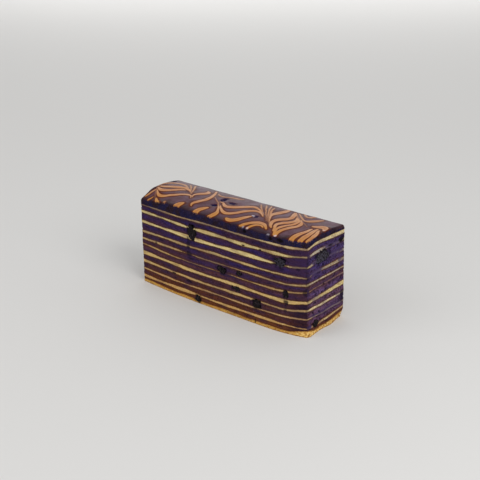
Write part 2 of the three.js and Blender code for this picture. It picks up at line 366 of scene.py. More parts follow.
@dataclass(frozen=True)
class Plan:
    """Points in the straight plan of the bar, with the outward direction at each."""

    x: Array
    y: Array
    nx: Array
    ny: Array

    def pick(self, index: Array) -> "Plan":
        """Gives the points with these numbers."""
        return Plan(self.x[index], self.y[index], self.nx[index], self.ny[index])


@dataclass(frozen=True)
class BarShape:
    """Plan, layer heights and top of the bar, as its solids have them."""

    length: float = 182.0
    width: float = 56.0
    front_left: float = 2.0
    front_right: float = 1.3
    back_right: float = 2.0
    back_left: float = 3.5
    crown: float = 83.6
    front_fall: float = 1.8
    back_fall_left: float = 3.2
    back_fall_right: float = 1.6
    droop: float = 4.0
    droop_length: float = 45.0
    droop_width: float = 20.0
    right_ease_from: float = 42.0
    right_ease: float = 7.4
    right_ease_power: int = 3
    left_ease_from: float = -14.0
    left_ease: float = 4.5
    left_ease_power: float = 1.8
    back_taper: float = 2.4
    end_taper_front: float = 1.3
    end_taper_back: float = 0.6
    end_taper_power: int = 4
    end_lean: float = 0.3
    foot_height: float = 9.0
    foot_from: float = 4.0
    foot_depth: float = 3.2
    tip_span: Span = (72.0, 90.0)
    tip_corner: float = -14.0
    rise_until: float = -16.0
    wave: float = 0.25
    wave_slant: float = 0.5
    shortest_wave: float = 60.0
    longest_wave: float = 110.0
    swell: float = 0.2
    swell_rate: float = 1.7
    fray: float = 0.24
    fray_pitch: float = 6.0
    fine_fray: float = 0.9
    fine_fray_pitch: float = 1.6
    fray_apart: float = 9.0
    corner_points: int = 17
    point_step: float = 0.5

    @property
    def half_length(self) -> float:
        """Half the bar's length."""
        return self.length / 2

    @property
    def half_width(self) -> float:
        """Half the bar's width."""
        return self.width / 2

    def front_setback(self, x: Array) -> Array:
        """Gives how far the front face stands back from a straight line.

        Args:
            x: Place along the bar.

        Returns:
            The distances.
        """
        half = self.half_length
        right = np.clip((x - self.right_ease_from) / (half - self.right_ease_from), 0, None)
        left = np.clip((self.left_ease_from - x) / (half + self.left_ease_from), 0, None)
        at_right = self.right_ease * right ** self.right_ease_power
        return at_right + self.left_ease * left ** self.left_ease_power

    def settle(self, x: Array, y: Array, z: Array) -> Array:
        """Moves points of the straight plan to where the eased faces put them.

        Args:
            x: Place along the bar.
            y: Place across the bar.
            z: Height.

        Returns:
            The points, one a row, in metres.
        """
        to_front = np.clip(0.5 - y / self.width, 0, 1)
        to_left = np.clip(0.5 - x / self.length, 0, 1)
        at_end = np.clip(x / self.half_length, 0, 1) ** self.end_taper_power
        low = 1 - ease(z, 0, self.foot_height)
        foot = self.foot_depth * low * at_end * ease(y, self.foot_from, self.half_width)
        taper = blend(self.end_taper_back, self.end_taper_front, to_front)
        back_x = (taper + self.end_lean * (1 - low)) * at_end + foot
        back_y = self.front_setback(x) * to_front - self.back_taper * to_left * (1 - to_front)
        return np.stack([x - back_x, y + back_y, z], axis=1) * MM

    def top_height(self, x: Array, y: Array) -> Array:
        """Gives the height of the domed top over points of the straight plan.

        Args:
            x: Place along the bar.
            y: Place across the bar.

        Returns:
            The heights.
        """
        back_fall = blend(self.back_fall_left, self.back_fall_right, 0.5 + x / self.length)
        fall = np.where(y < 0, self.front_fall, back_fall) * (y / self.half_width) ** 2
        at_left = 1 - ease(x, -self.half_length, self.droop_length - self.half_length)
        at_front = 1 - ease(y, -self.half_width, self.droop_width - self.half_width)
        return self.crown - fall - self.droop * at_left * at_front

    def surface_height(self, surface: int, x: Array, y: Array) -> Array:
        """Gives the height of a surface between two layers over points of the straight plan.

        Args:
            surface: Number of the surface, from 0 under the base.
            x: Place along the bar.
            y: Place across the bar.

        Returns:
            The heights, with the fine fraying of the layer's edge.
        """
        if surface == 0:
            return np.zeros_like(x)
        number = surface // 2
        layer = YELLOW_LAYERS[number]
        along = x / self.half_length
        bend = (0.5 * (layer.left + layer.right) - layer.halfway) * along ** 2
        middle = layer.halfway + 0.5 * (layer.right - layer.left) * along + bend
        pitch = blend(self.shortest_wave, self.longest_wave, chance(number, Draw.WAVE_PITCH))
        waves = (x + self.wave_slant * y) / pitch
        turn = FULL_TURN * (waves + chance(number, Draw.WAVE_START))
        wave = self.wave * np.sin(turn) if number else 0.0
        behind = ease(y, -self.half_width, self.rise_until)
        thickness = blend(layer.front_thickness(x), layer.behind, behind)
        side = 0.5 if surface % 2 else -0.5
        swollen = side * thickness * (1 + self.swell * np.sin(self.swell_rate * turn))
        across = (0.5 + y / self.width) ** 2
        turned_up = layer.tip * ease(x, *self.tip_span)
        if number == 0:
            turned_up = turned_up * (1 - ease(y, -self.half_width, self.tip_corner))
        lift = turned_up + layer.near * behind + (layer.far - layer.near) * across
        points = np.stack([x, y, np.full_like(x, self.fray_apart * surface)], axis=1)
        coarse = grain(points, self.fray_pitch, Lumps.FRAY)
        fine = grain(points, self.fine_fray_pitch, Lumps.FINE_FRAY)
        fray = self.fray * (coarse + self.fine_fray * fine)
        return middle + swollen + wave + lift + fray

    @cached_property
    def outline(self) -> Plan:
        """Goes round the rounded plan.

        Returns:
            Points evenly spaced, a multiple of four in all.
        """
        half_x, half_y = self.half_length, self.half_width
        corners = (
            (half_x - self.front_right, -half_y + self.front_right, self.front_right, -90),
            (half_x - self.back_right, half_y - self.back_right, self.back_right, 0),
            (-half_x + self.back_left, half_y - self.back_left, self.back_left, 90),
            (-half_x + self.front_left, -half_y + self.front_left, self.front_left, 180),
        )
        stretches = [np.array([[-half_x + self.front_left, -half_y, math.radians(-90)]])]
        for x, y, radius, first in corners:
            angle = np.radians(np.linspace(first, first + 90, self.corner_points))
            arc = [x + radius * np.cos(angle), y + radius * np.sin(angle), angle]
            stretches.append(np.stack(arc, axis=1))
        line = np.concatenate(stretches)
        run = np.concatenate([[0], np.cumsum(np.hypot(*np.diff(line[:, :2], axis=0).T))])
        count = 4 * round(run[-1] / self.point_step / 4)
        at = np.linspace(0, run[-1], count, endpoint=False)
        x, y, angle = (np.interp(at, run, line[:, k]) for k in range(3))
        return Plan(x, y, np.cos(angle), np.sin(angle))

    def edge_distance(self, x: Array, y: Array) -> Array:
        """Gives how far inside the rounded plan points lie.

        Args:
            x: Place along the bar.
            y: Place across the bar.

        Returns:
            The distances, negative outside.
        """
        left = np.where(y < 0, self.front_left, self.back_left)
        right = np.where(y < 0, self.front_right, self.back_right)
        radius = np.where(x < 0, left, right)
        past_x = np.abs(x) - self.half_length + radius
        past_y = np.abs(y) - self.half_width + radius
        outside = np.hypot(np.maximum(past_x, 0), np.maximum(past_y, 0))
        return radius - outside - np.minimum(np.maximum(past_x, past_y), 0)

    def corner_distance(self, plan: Plan) -> Array:
        """Gives how far points in plan lie from the front right corner."""
        return np.hypot(plan.x - self.half_length, plan.y + self.half_width)


@dataclass(frozen=True)
class CutFaces:
    """Unevenness of the upright faces: broad ripples, crumb, torn pits and prune pockets."""

    bar: BarShape
    end_span: Span = (0.5, 0.95)
    broad: float = 0.35
    broad_end: float = 0.8
    broad_rest: float = 0.5
    broad_swing: float = 0.7
    broad_pitch: float = 15.0
    crumb: float = 0.3
    crumb_pitch: float = 2.4
    fine: float = 0.16
    fine_pitch: float = 1.1
    pit: float = 0.7
    pit_pitch: float = 3.4
    pit_flatness: float = 1.7
    pit_edge: float = 0.5
    pit_edge_pitch: float = 1.4
    pit_span: Span = (0.26, 0.6)
    pit_shade: float = 0.7
    pit_shade_span: Span = (0.1, 0.8)
    end_roughness: float = 1.9
    wiped: float = 0.3
    wiped_pitch: float = 9.0
    wiped_flatness: float = 4.0
    wiped_span: Span = (-0.1, 0.5)
    foot_spread: float = 2.0
    foot_swing: float = 0.6
    foot_pitch: float = 3.0
    foot_reach: float = 7.0
    foot_span: Span = (0.5, 4.5)
    chip: float = 1.3
    chip_even: float = 0.5
    chip_pitch: float = 4.0
    chip_reach: float = 2.2
    chip_span: Span = (0.0, 0.5)
    spot_edge_pitch: float = 2.2
    pocket: float = 2.4
    pocket_share: float = 0.6
    pocket_edge: float = 1.3
    pocket_edge_pitch: float = 2.8
    fine_pocket_edge: float = 0.8
    fine_pocket_edge_pitch: float = 1.3
    pocket_tear: float = 1.1
    pocket_shade: float = 0.75
    pocket_shade_size: float = 1.3
    pocket_shade_lower: float = 0.4
    pocket_shade_tear: float = 1.8

    def corner_depth(self, plan: Plan, points: Array) -> Array:
        """Chips the front right corner and spreads its foot.

        Args:
            plan: The points in plan.
            points: The points in space, one a row.

        Returns:
            How far each point goes in, negative where it comes out.
        """
        away = self.bar.corner_distance(plan)
        foot = np.exp(-away / self.foot_reach) * (1 - ease(points[:, 2], *self.foot_span))
        chips = ease(grain(points, self.chip_pitch, Lumps.CHIP), *self.chip_span)
        chips = self.chip_even + (1 - self.chip_even) * chips
        spread = 1 + self.foot_swing * grain(points, self.foot_pitch, Lumps.FOOT)
        chipped = self.chip * np.exp(-away / self.chip_reach) * chips * (1 - foot)
        return chipped - self.foot_spread * foot * spread

    def read(self, plan: Plan, z: Array, crumbly: Array) -> tuple[Array, Array, Array]:
        """Works out the unevenness at points of the upright faces.

        Args:
            plan: The points in plan.
            z: Their heights.
            crumbly: How crumbly the sponge is at each, from 0 to 1.

        Returns:
            How far each point goes in, how much painted shade it takes, and how smeared it is.
        """
        points = np.stack([plan.x, plan.y, z], axis=1)
        at_end = ease(np.abs(plan.nx), *self.end_span)
        broad = blend(self.broad, self.broad_end, at_end)
        swing = self.broad_swing * grain(points, self.broad_pitch, Lumps.BROAD)
        crumb = self.crumb * np.abs(grain(points, self.crumb_pitch, Lumps.CRUMB))
        fine = self.fine * grain(points, self.fine_pitch, Lumps.FINE_CRUMB)
        lying = points * np.array([1.0, 1.0, self.pit_flatness])
        holes = grain(lying, self.pit_pitch, Lumps.PIT)
        holes = holes + self.pit_edge * grain(points, self.pit_edge_pitch, Lumps.PIT_EDGE)
        pits = self.pit * ease(holes, *self.pit_span)
        rough = blend(1.0, self.end_roughness, at_end)
        depth = broad * (self.broad_rest + swing) + crumbly * rough * (crumb + fine + pits)
        depth = depth + self.corner_depth(plan, points)
        # Painted shade: the deeper pits of the torn ends are drawn darker
        shade = ease(pits / self.pit, *self.pit_shade_span)
        stain = self.pit_shade * at_end * crumbly * shade
        drawn = points * np.array([1.0, 1.0, self.wiped_flatness])
        wiped = ease(grain(drawn, self.wiped_pitch, Lumps.WIPED), *self.wiped_span)
        smear = self.wiped * wiped
        ragged = grain(points, self.spot_edge_pitch, Lumps.SPOT_EDGE)
        for spot in SPOTS:
            cover = spot.cover(plan, z, ragged)
            depth = depth + spot.depth * cover
            stain = np.maximum(stain, spot.stain * cover)
            smear = np.maximum(smear, spot.smear * cover)
        fine_edge = grain(points, self.fine_pocket_edge_pitch, Lumps.FINE_POCKET_EDGE)
        torn_edge = self.pocket_edge * grain(points, self.pocket_edge_pitch, Lumps.POCKET_EDGE)
        torn_edge = torn_edge + self.fine_pocket_edge * fine_edge
        for prune in PRUNES:
            face, along, height = prune.face, prune.along, prune.height
            hole = Spot(face, along, height, prune.wide, prune.tall)
            cover = hole.cover(plan, z, self.pocket_tear * torn_edge)
            depth = depth + min(self.pocket, self.pocket_share * prune.depth) * cover
            # Painted shade in and round each prune's pocket, a little below its middle
            wide, tall = self.pocket_shade_size * prune.wide, self.pocket_shade_size * prune.tall
            pocket_shade = Spot(face, along, height - self.pocket_shade_lower, wide, tall)
            cover = pocket_shade.cover(plan, z, self.pocket_shade_tear * torn_edge)
            stain = np.maximum(stain, self.pocket_shade * cover)
        return depth, stain, smear


def deselect() -> None:
    """Leaves nothing selected, so that the next operator acts on the new piece alone."""
    bpy.ops.object.select_all(action="DESELECT")


def read_places(piece: bpy.types.Object) -> Array:
    """Gives a piece's points.

    Args:
        piece: The piece.

    Returns:
        The points, one a row.
    """
    places = np.empty(3 * len(piece.data.vertices))
    piece.data.vertices.foreach_get("co", places)
    return places.reshape(-1, 3)


def write_places(piece: bpy.types.Object, places: Array) -> None:
    """Moves a piece's points to these places, in metres."""
    piece.data.vertices.foreach_set("co", places.astype(np.float32).ravel())
    piece.data.update()


def write_marks(piece: bpy.types.Object, **marks: Array) -> None:
    """Stores a number for each point, for the piece's finish to read.

    Args:
        piece: The piece.
        marks: The numbers, by the names that the finish knows.
    """
    for name, values in marks.items():
        mark = piece.data.attributes.new(name, "FLOAT", "POINT")
        mark.data.foreach_set("value", values.astype(np.float32))


def draw_and_close(rows: int, way: int) -> None:
    """Draws the selected border out row by row, in edit mode, and closes what is left open.

    Args:
        rows: How many rows to add.
        way: 1 to go up or -1 to go down.
    """
    for _ in range(rows):
        bpy.ops.mesh.extrude_region_move(TRANSFORM_OT_translate={"value": (0, 0, way)})
    bpy.ops.mesh.select_all(action="SELECT")
    bpy.ops.mesh.fill_holes(sides=0)
    bpy.ops.mesh.normals_make_consistent(inside=False)
    bpy.ops.object.mode_set(mode="OBJECT")


def raise_belt(name: str, around: int, rows: int) -> bpy.types.Object:
    """Adds a ring of points, raises it row by row and closes it below and above.

    Args:
        name: Name of the piece.
        around: Points in the ring, a multiple of four.
        rows: How many times the ring is raised.

    Returns:
        The drum, of radius 1, with its rows 1 apart.
    """
    deselect()
    bpy.ops.mesh.primitive_circle_add(vertices=around, radius=1.0, fill_type="NOTHING")
    drum = bpy.context.object
    drum.name = name
    bpy.ops.object.mode_set(mode="EDIT")
    bpy.ops.mesh.select_all(action="SELECT")
    draw_and_close(rows, 1)
    return drum


def finish_piece(piece: bpy.types.Object, node: str, finish: bpy.types.Material) -> None:
    """Smooths and dresses a piece and lets it stand for its solid.

    Args:
        piece: The piece, in place.
        node: The solid that it stands for.
        finish: Its material.
    """
    deselect()
    piece.select_set(True)
    bpy.context.view_layer.objects.active = piece
    bpy.ops.object.shade_smooth_by_angle(angle=SMOOTH_ANGLE)
    piece.data.materials.clear()
    piece.data.materials.append(finish)
    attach(piece, BODY)
    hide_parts(node)
    LOG.info("%s stands for %s with %d points", piece.name, node, len(piece.data.vertices))


@dataclass(frozen=True)
class SpongeLayer:
    """One baked layer, cut through on all four sides."""

    bar: BarShape
    faces: CutFaces
    surface: int
    row_height: float = 0.55
    fewest_rows: int = 4
    groove: float = 0.1
    groove_width: float = 0.4
    crumb_edge: float = 0.7
    yellow_crumb: float = 0.35
    torn_span: Span = (0.3, 0.9)
    corner_torn: float = 0.35
    corner_swing: float = 2.5
    corner_pitch: float = 5.0
    corner_span: Span = (0.5, 6.5)
    base_torn_span: Span = (4.0, 14.0)
    base_browned: float = 0.5
    dark_tip: float = 0.65
    dark_tip_span: Span = (68.0, 84.0)
    dark_tip_height: float = 34.0
    dark_tip_fade: Span = (0.7, 1.3)

    @property
    def is_base(self) -> bool:
        """The base lies over the lowest surface."""
        return self.surface == 0

    @property
    def is_purple(self) -> bool:
        """Purple layers lie over surfaces with odd numbers."""
        return self.surface % 2 == 1

    @property
    def node(self) -> str:
        """Name of the solid that this layer stands for."""
        colour = "purple" if self.is_purple else "yellow"
        return f"{colour}_layer_{self.surface // 2 + 1:02d}"

    @property
    def slot(self) -> str:
        """Picks the record's material slot.

        Returns:
            The slot's name.
        """
        if self.is_base:
            return "base_layer"
        return "purple_layer" if self.is_purple else "yellow_layer"

    def build(self) -> bpy.types.Object:
        """Models the layer between its two surfaces.

        Returns:
            The piece, with marks for its finish to read.
        """
        outline = self.bar.outline
        below = self.bar.surface_height(self.surface, outline.x, outline.y)
        above = self.bar.surface_height(self.surface + 1, outline.x, outline.y)
        rows = max(self.fewest_rows, round(float(np.mean(above - below)) / self.row_height))
        piece = raise_belt(f"sponge_{self.node}", len(outline.x), rows)
        start = read_places(piece)
        turn = np.arctan2(start[:, 1], start[:, 0]) / FULL_TURN * len(outline.x)
        at = np.round(turn).astype(int) % len(outline.x)
        share = np.round(start[:, 2]) / rows
        plan = outline.pick(at)
        z = blend(below[at], above[at], share)
        rise = z - below[at]
        drop = above[at] - z
        edge = np.minimum(rise, drop)
        crumbly = ease(edge, 0.0, self.crumb_edge)
        crumbly = crumbly * (1.0 if self.is_purple else self.yellow_crumb)
        depth, stain, smear = self.faces.read(plan, z, crumbly)
        depth = depth + self.groove * (1 - ease(edge, 0.0, self.groove_width))
        x = plan.x - plan.nx * depth
        y = plan.y - plan.ny * depth
        write_places(piece, self.bar.settle(x, y, z))
        at_end = ease(np.abs(plan.nx), *self.torn_span)
        away = self.bar.corner_distance(plan)
        points = np.stack([plan.x, plan.y, z], axis=1)
        ragged = self.corner_swing * grain(points, self.corner_pitch, Lumps.CORNER)
        torn = at_end * blend(self.corner_torn, 1.0, ease(away + ragged, *self.corner_span))
        if self.is_base:
            torn = np.maximum(torn, 1 - ease(away, *self.base_torn_span))
            drop = drop - self.base_browned * at_end
        # Painted shade: purple layers darken towards the right end of the long faces, fading with
        # height
        if self.is_purple:
            tip = ease(plan.x, *self.dark_tip_span) * (1 - torn)
            fade = [part * self.dark_tip_height for part in self.dark_tip_fade]
            stain = np.maximum(stain, self.dark_tip * tip * (1 - ease(z, *fade)))
        write_marks(piece, rise=rise, drop=drop, stain=stain, smear=smear, torn=torn)
        return piece


@dataclass(frozen=True)
class Strand:
    """A strand of tan batter, drawn out by the skewer.

    Its points are places on the top, each with half the strand's width there. A bright strand
    has tone 1, and one that has sunk into the ground has less.
    """

    points: tuple[tuple[float, float, float], ...]
    tone: float = 1.0
    steps: int = 8

    @cached_property
    def line(self) -> Array:
        """Draws a smooth curve through the strand's points.

        Returns:
            Points along it, close together, each with half the width there.
        """
        given = np.array(self.points)
        padded = np.concatenate([2 * given[:1] - given[1:2], given, 2 * given[-1:] - given[-2:-1]])
        share = np.linspace(0, 1, self.steps, endpoint=False)[:, None]
        pieces = []
        for before, start, end, after in zip(padded, padded[1:], padded[2:], padded[3:]):
            bend = 2 * before - 5 * start + 4 * end - after
            twist = 3 * start - before - 3 * end + after
            way = end - before + share * (bend + share * twist)
            pieces.append(start + 0.5 * share * way)
        return np.concatenate([*pieces, given[-1:]])


# Feathered strands from left to right: piped across the bar, then pulled by the skewer to the
# back and to the front in turn, which leaves bunches of curved strands between the pulls
STRANDS = (
    Strand(((-84.6, -8.4, 0.4), (-85.4, -12, 0.7), (-86.5, -16, 0.8), (-87.6, -19.8, 0.6)), 0.8),
    Strand(((-87, -6, 0.3), (-81.2, -14.2, 0.35), (-75.5, -20.5, 0.25)), 0.35),
    Strand(((-79.6, -18.6, 0.4), (-80.4, -22, 0.9), (-81.8, -25.2, 0.8)), 0.8),
    Strand(((-75, -19.6, 0.5), (-72, -22.4, 1.2), (-68.5, -25.2, 1.5), (-64.5, -28.4, 1.2))),
    Strand(((-61.6, -23.4, 1.2), (-60.6, -26, 1.3)), 0.3),
    Strand((
        (-89.6, 0.6, 1.0), (-87.4, 6, 1.5), (-84, 10.8, 1.6), (-79, 13.8, 1.8), (-73.6, 14.6, 1.6),
        (-68, 11.6, 1.0), (-62, 7.6, 0.5),
    ), 0.6),
    Strand((
        (-88, -2.6, 0.6), (-84, -1.4, 1.4), (-80, 0.6, 2.0), (-75, 3.8, 2.2), (-70, 6.4, 2.1),
        (-65.5, 7.6, 1.7), (-61, 6.4, 1.2), (-57, 4.2, 0.7),
    )),
    Strand((
        (-86.5, -5.4, 0.4), (-82.5, -7, 1.4), (-79, -8, 2.1), (-75, -6.4, 2.2), (-71.5, -3.4, 2.1),
        (-68.5, 0.2, 2.0), (-66, 2.8, 1.5), (-63, 4, 0.6),
    )),
    Strand((
        (-83, -9.6, 0.4), (-80, -12.6, 0.8), (-76.5, -15, 1.2), (-72.5, -15.8, 1.5),
        (-68, -14.4, 1.6), (-63, -10.8, 1.6), (-58, -6.4, 1.6), (-54, -3.6, 1.4), (-51, -3.2, 0.9),
        (-49, -3.8, 0.5), (-46, -7.5, 0.2),
    )),
    Strand(((-44.6, -19.4, 1.6), (-45.6, -22.4, 3.0), (-45.4, -26, 3.2), (-44.6, -30.4, 2.6))),
    Strand(((-70, 18.6, 0.6), (-64, 12.6, 0.7), (-58.8, 6.8, 0.5), (-53.4, 0.4, 0.3)), 0.6),
    Strand(((-65, 19.4, 0.7), (-60.4, 13, 0.8), (-56.4, 6.8, 0.6), (-52.4, 0.2, 0.3)), 0.75),
    Strand((
        (-45.4, 14.4, 0.7), (-43.2, 11.4, 2.0), (-43.6, 8, 2.3), (-46, 4.8, 1.9), (-48.4, 1.2, 1.2),
        (-48.4, -1.6, 0.7), (-46.4, -5, 0.2),
    )),
    Strand((
        (-41, 20, 0.7), (-37.6, 14.4, 1.0), (-34.8, 8.4, 1.3), (-33, 3, 1.7), (-32.6, -2, 2.0),
        (-34, -7, 2.0), (-36, -11.4, 1.9), (-37, -14.8, 1.4), (-36, -17.6, 0.6),
        (-34.6, -19.6, 0.3),
    )),
    Strand((
        (-35, 15.6, 0.4), (-31, 12.8, 1.0), (-26.8, 12.4, 1.3), (-22.4, 14.4, 1.2),
        (-18, 16.6, 1.6), (-14, 17.2, 1.6), (-10.4, 19.6, 0.8),
    ), 0.5),
    Strand(((-31, 6.4, 0.3), (-26, 2.4, 0.45), (-20, -1.6, 0.5), (-14.6, -7.6, 0.4)), 0.4),
    Strand((
        (-20.2, -15.4, 1.2), (-22.6, -18.6, 2.4), (-24, -22.4, 2.8), (-23.4, -26.4, 2.6),
        (-21.6, -30, 2.0),
    )),
    Strand((
        (-20, 0.6, 0.4), (-16, 0.2, 0.8), (-13, -2.4, 1.3), (-9.4, -4.4, 1.9), (-6, -3.6, 2.1),
        (-2, -0.8, 2.2), (2, 2.8, 2.2), (5.6, 6.8, 2.1), (9, 9.6, 1.8), (12.6, 9.4, 1.4),
        (17, 7.2, 0.9), (23, 3.6, 0.5),
    )),
    Strand((
        (-14, -6, 0.4), (-10.4, -9.6, 0.8), (-6, -12.8, 1.2), (-1.6, -14.6, 1.8), (2.6, -13.6, 1.9),
        (6.4, -10, 1.9), (9, -5.8, 1.9), (11.6, -1.6, 1.8), (15, 2.4, 1.6), (19.4, 3.4, 1.2),
        (24, 1.4, 0.8), (29, -2.6, 0.5),
    )),
    Strand((
        (-18, -4.4, 0.4), (-13, -9.6, 0.7), (-9.4, -14.6, 1.0), (-7.2, -18.6, 1.7),
        (-7, -22.4, 2.3), (-8, -28.6, 2.2),
    )),
    Strand((
        (6.4, -22, 1.0), (10.4, -23.2, 2.4), (14.2, -21.4, 2.7), (17, -17, 2.3), (19.2, -12.4, 1.8),
        (21, -8.8, 1.1),
    )),
    Strand(((9, 19.6, 0.5), (15, 12.6, 0.7), (21.4, 6, 0.6), (27.6, 0.4, 0.4)), 0.6),
    Strand((
        (14, 20.6, 0.5), (19.2, 13.8, 0.7), (24.4, 7.2, 0.6), (30, 0.4, 0.5), (37, -8, 0.3),
    ), 0.7),
    Strand((
        (18.6, 21.6, 0.5), (22.4, 14.6, 0.7), (27, 7.6, 0.6), (32, 0.4, 0.5), (39, -8.4, 0.3),
    ), 0.75),
    Strand((
        (23.6, 18.6, 0.6), (26.4, 12.4, 0.8), (30, 6.2, 0.7), (34.4, -0.6, 0.5), (40.6, -8.6, 0.4),
        (46.6, -15.4, 0.2),
    ), 0.8),
    Strand((
        (25.4, -26.4, 1.6), (27.4, -21.6, 2.0), (30.4, -17.2, 2.1), (34.6, -14.4, 2.0),
        (39, -14, 1.7), (43, -16.4, 1.2), (47, -20.4, 0.6),
    )),
    Strand((
        (32.6, -26.4, 1.2), (33.8, -22.4, 1.5), (36.2, -19, 1.4), (39.6, -17.8, 1.0),
        (43, -19.6, 0.5),
    )),
    Strand((
        (35.4, 23.4, 1.4), (35.4, 18.4, 2.2), (34.2, 12.8, 2.4), (32.8, 7.6, 2.0), (33, 3.6, 1.2),
        (35.4, -1, 0.6), (40, -7.4, 0.3),
    )),
    Strand((
        (43.6, 22, 1.0), (46.6, 16.4, 1.9), (49, 10.6, 2.0), (48.4, 5.4, 2.2), (45.4, 1.4, 2.4),
        (42.8, -2.8, 2.1), (42.6, -7, 1.6), (44.6, -11, 1.2), (48.4, -16, 0.6),
    )),
    Strand((
        (52.6, 13, 0.6), (55.6, 8.4, 1.2), (56, 3.6, 1.6), (54, -0.4, 1.9), (51, -4, 1.9),
        (49, -7.6, 1.7), (49.2, -11, 1.4), (51.4, -15.4, 1.0), (54, -20, 0.5),
    )),
    Strand((
        (54.8, 12, 0.5), (58.6, 7, 1.0), (59.8, 2.6, 1.3), (59, -2, 1.3), (57, -6.4, 1.4),
        (54.8, -10.8, 1.5), (54, -15, 1.3), (55.6, -19.6, 1.1), (58.4, -24.6, 0.8),
    )),
    Strand((
        (58, 10.4, 0.5), (62, 6.4, 1.0), (64, 2.2, 1.5), (64, -2, 1.6), (62.4, -6.4, 1.6),
        (60.4, -11, 1.7), (59, -15.6, 1.7), (58.8, -20, 1.5), (60.4, -25, 1.0),
    )),
    Strand((
        (45.6, 21.4, 0.4), (51, 15.4, 0.6), (56.6, 11, 0.6), (63.4, 6.8, 0.5), (71, 2, 0.3),
    ), 0.25),
    Strand((
        (46, 23.4, 0.4), (51, 19, 0.7), (56, 14.6, 0.8), (60.4, 11.6, 1.0), (63.8, 11.6, 1.7),
        (66.6, 14.4, 2.2), (69, 18, 2.0), (71, 22, 1.2),
    ), 0.65),
    Strand((
        (49.4, 25.6, 0.4), (53.4, 22.6, 0.8), (57, 19.8, 1.1), (59.6, 20.6, 1.6), (60.8, 24, 1.7),
        (61.6, 27, 1.3),
    ), 0.6),
    Strand((
        (74.6, 5.4, 1.4), (78, 6.8, 2.2), (81.8, 8.8, 2.8), (84.8, 7.6, 2.4), (86.6, 3.6, 1.2),
    ), 0.9),
    Strand((
        (77, 0.4, 0.8), (76.6, -5.6, 1.5), (75.2, -12.6, 2.0), (74.6, -19.6, 2.2),
        (76.2, -26.4, 2.0),
    )),
    Strand((
        (80.8, 2.4, 0.9), (81.4, -4, 1.7), (81.8, -11, 2.1), (82, -18, 2.2), (83.2, -26.4, 2.0),
    )),
    Strand((
        (83.8, 0.6, 0.8), (86, -5.4, 1.5), (87.2, -11.8, 1.8), (88.2, -18, 1.9), (90, -24.4, 1.7),
    )),
)


@dataclass(frozen=True)
class Hollow:
    """A small hollow in the top: its middle, half sizes, how dark it is, and how much painted glint
    it takes.
    """

    x: float
    y: float
    wide: float
    deep: float
    dark: float
    wet: float = 0.0
    sunk: float = 0.5


# Hollows with a glint share carry a painted glint: white specks where the moist crust catches the
# light
HOLLOWS = (
    Hollow(-21, 7.2, 2.9, 5.2, 1.0),
    Hollow(-19.2, -7.6, 3.8, 3.0, 1.0),
    Hollow(-9.4, 4.2, 4.6, 2.8, 0.9),
    Hollow(25.2, -6.4, 2.2, 2.2, 1.0),
    Hollow(-87, 16, 1.6, 3.0, 0.7),
    Hollow(22, -6.4, 1.7, 1.2, 0.0, wet=0.8),
    Hollow(28.2, -26.9, 1.0, 1.8, 0.0, wet=0.65),
    Hollow(32.4, -26.6, 1.5, 1.2, 0.0, wet=0.65),
    Hollow(60.2, -25.2, 1.2, 1.5, 0.0, wet=0.7),
    Hollow(54, -26.6, 1.8, 1.4, 0.0, wet=0.45),
    Hollow(86.2, 4.0, 1.1, 1.3, 0.0, wet=0.6),
)


@dataclass(frozen=True)
class Marbling:
    """Feathered marbling of the top, with a few small hollows in it."""

    reach: float = 4.0
    wobble: float = 0.35
    wobble_pitch: float = 4.0
    hollow_edge: float = 0.35
    hollow_edge_pitch: float = 1.5
    hollow_fade: Span = (0.5, 1.15)

    def strands(self, x: Array, y: Array) -> tuple[Array, Array]:
        """Works out the strands at points of the top.

        Args:
            x: Place along the bar.
            y: Place across the bar.

        Returns:
            How far each point lies inside the nearest strand, in millimetres, negative
            outside it, and the tone of that strand.
        """
        points = np.stack([x, y, np.zeros_like(x)], axis=1)
        x = x + self.wobble * grain(points, self.wobble_pitch, Lumps.WOBBLE_X)
        y = y + self.wobble * grain(points, self.wobble_pitch, Lumps.WOBBLE_Y)
        inside = np.full_like(x, -self.reach)
        tone = np.ones_like(x)
        for strand in STRANDS:
            line = strand.line
            low = line[:, :2].min(axis=0) - self.reach
            high = line[:, :2].max(axis=0) + self.reach
            close = np.flatnonzero((x > low[0]) & (x < high[0]) & (y > low[1]) & (y < high[1]))
            away_x = x[close, None] - line[None, :, 0]
            away_y = y[close, None] - line[None, :, 1]
            depth = (line[None, :, 2] - np.hypot(away_x, away_y)).max(axis=1)
            deeper = depth > inside[close]
            inside[close[deeper]] = depth[deeper]
            tone[close[deeper]] = strand.tone
        return inside, tone

    def hollows(self, x: Array, y: Array) -> tuple[Array, Array, Array]:
        """Works out the hollows at points of the top.

        Args:
            x: Place along the bar.
            y: Place across the bar.

        Returns:
            How far each point is sunk, how dark it is, and how much painted glint it takes.
        """
        points = np.stack([x, y, np.zeros_like(x)], axis=1)
        ragged = self.hollow_edge * grain(points, self.hollow_edge_pitch, Lumps.HOLLOW_EDGE)
        sunk, dark, wet = (np.zeros_like(x) for _ in range(3))
        for hollow in HOLLOWS:
            away = np.hypot((x - hollow.x) / hollow.wide, (y - hollow.y) / hollow.deep)
            cover = 1 - ease(away + ragged, *self.hollow_fade)
            sunk = np.maximum(sunk, hollow.sunk * cover)
            dark = np.maximum(dark, hollow.dark * cover)
            wet = np.maximum(wet, hollow.wet * cover)
        return sunk, dark, wet


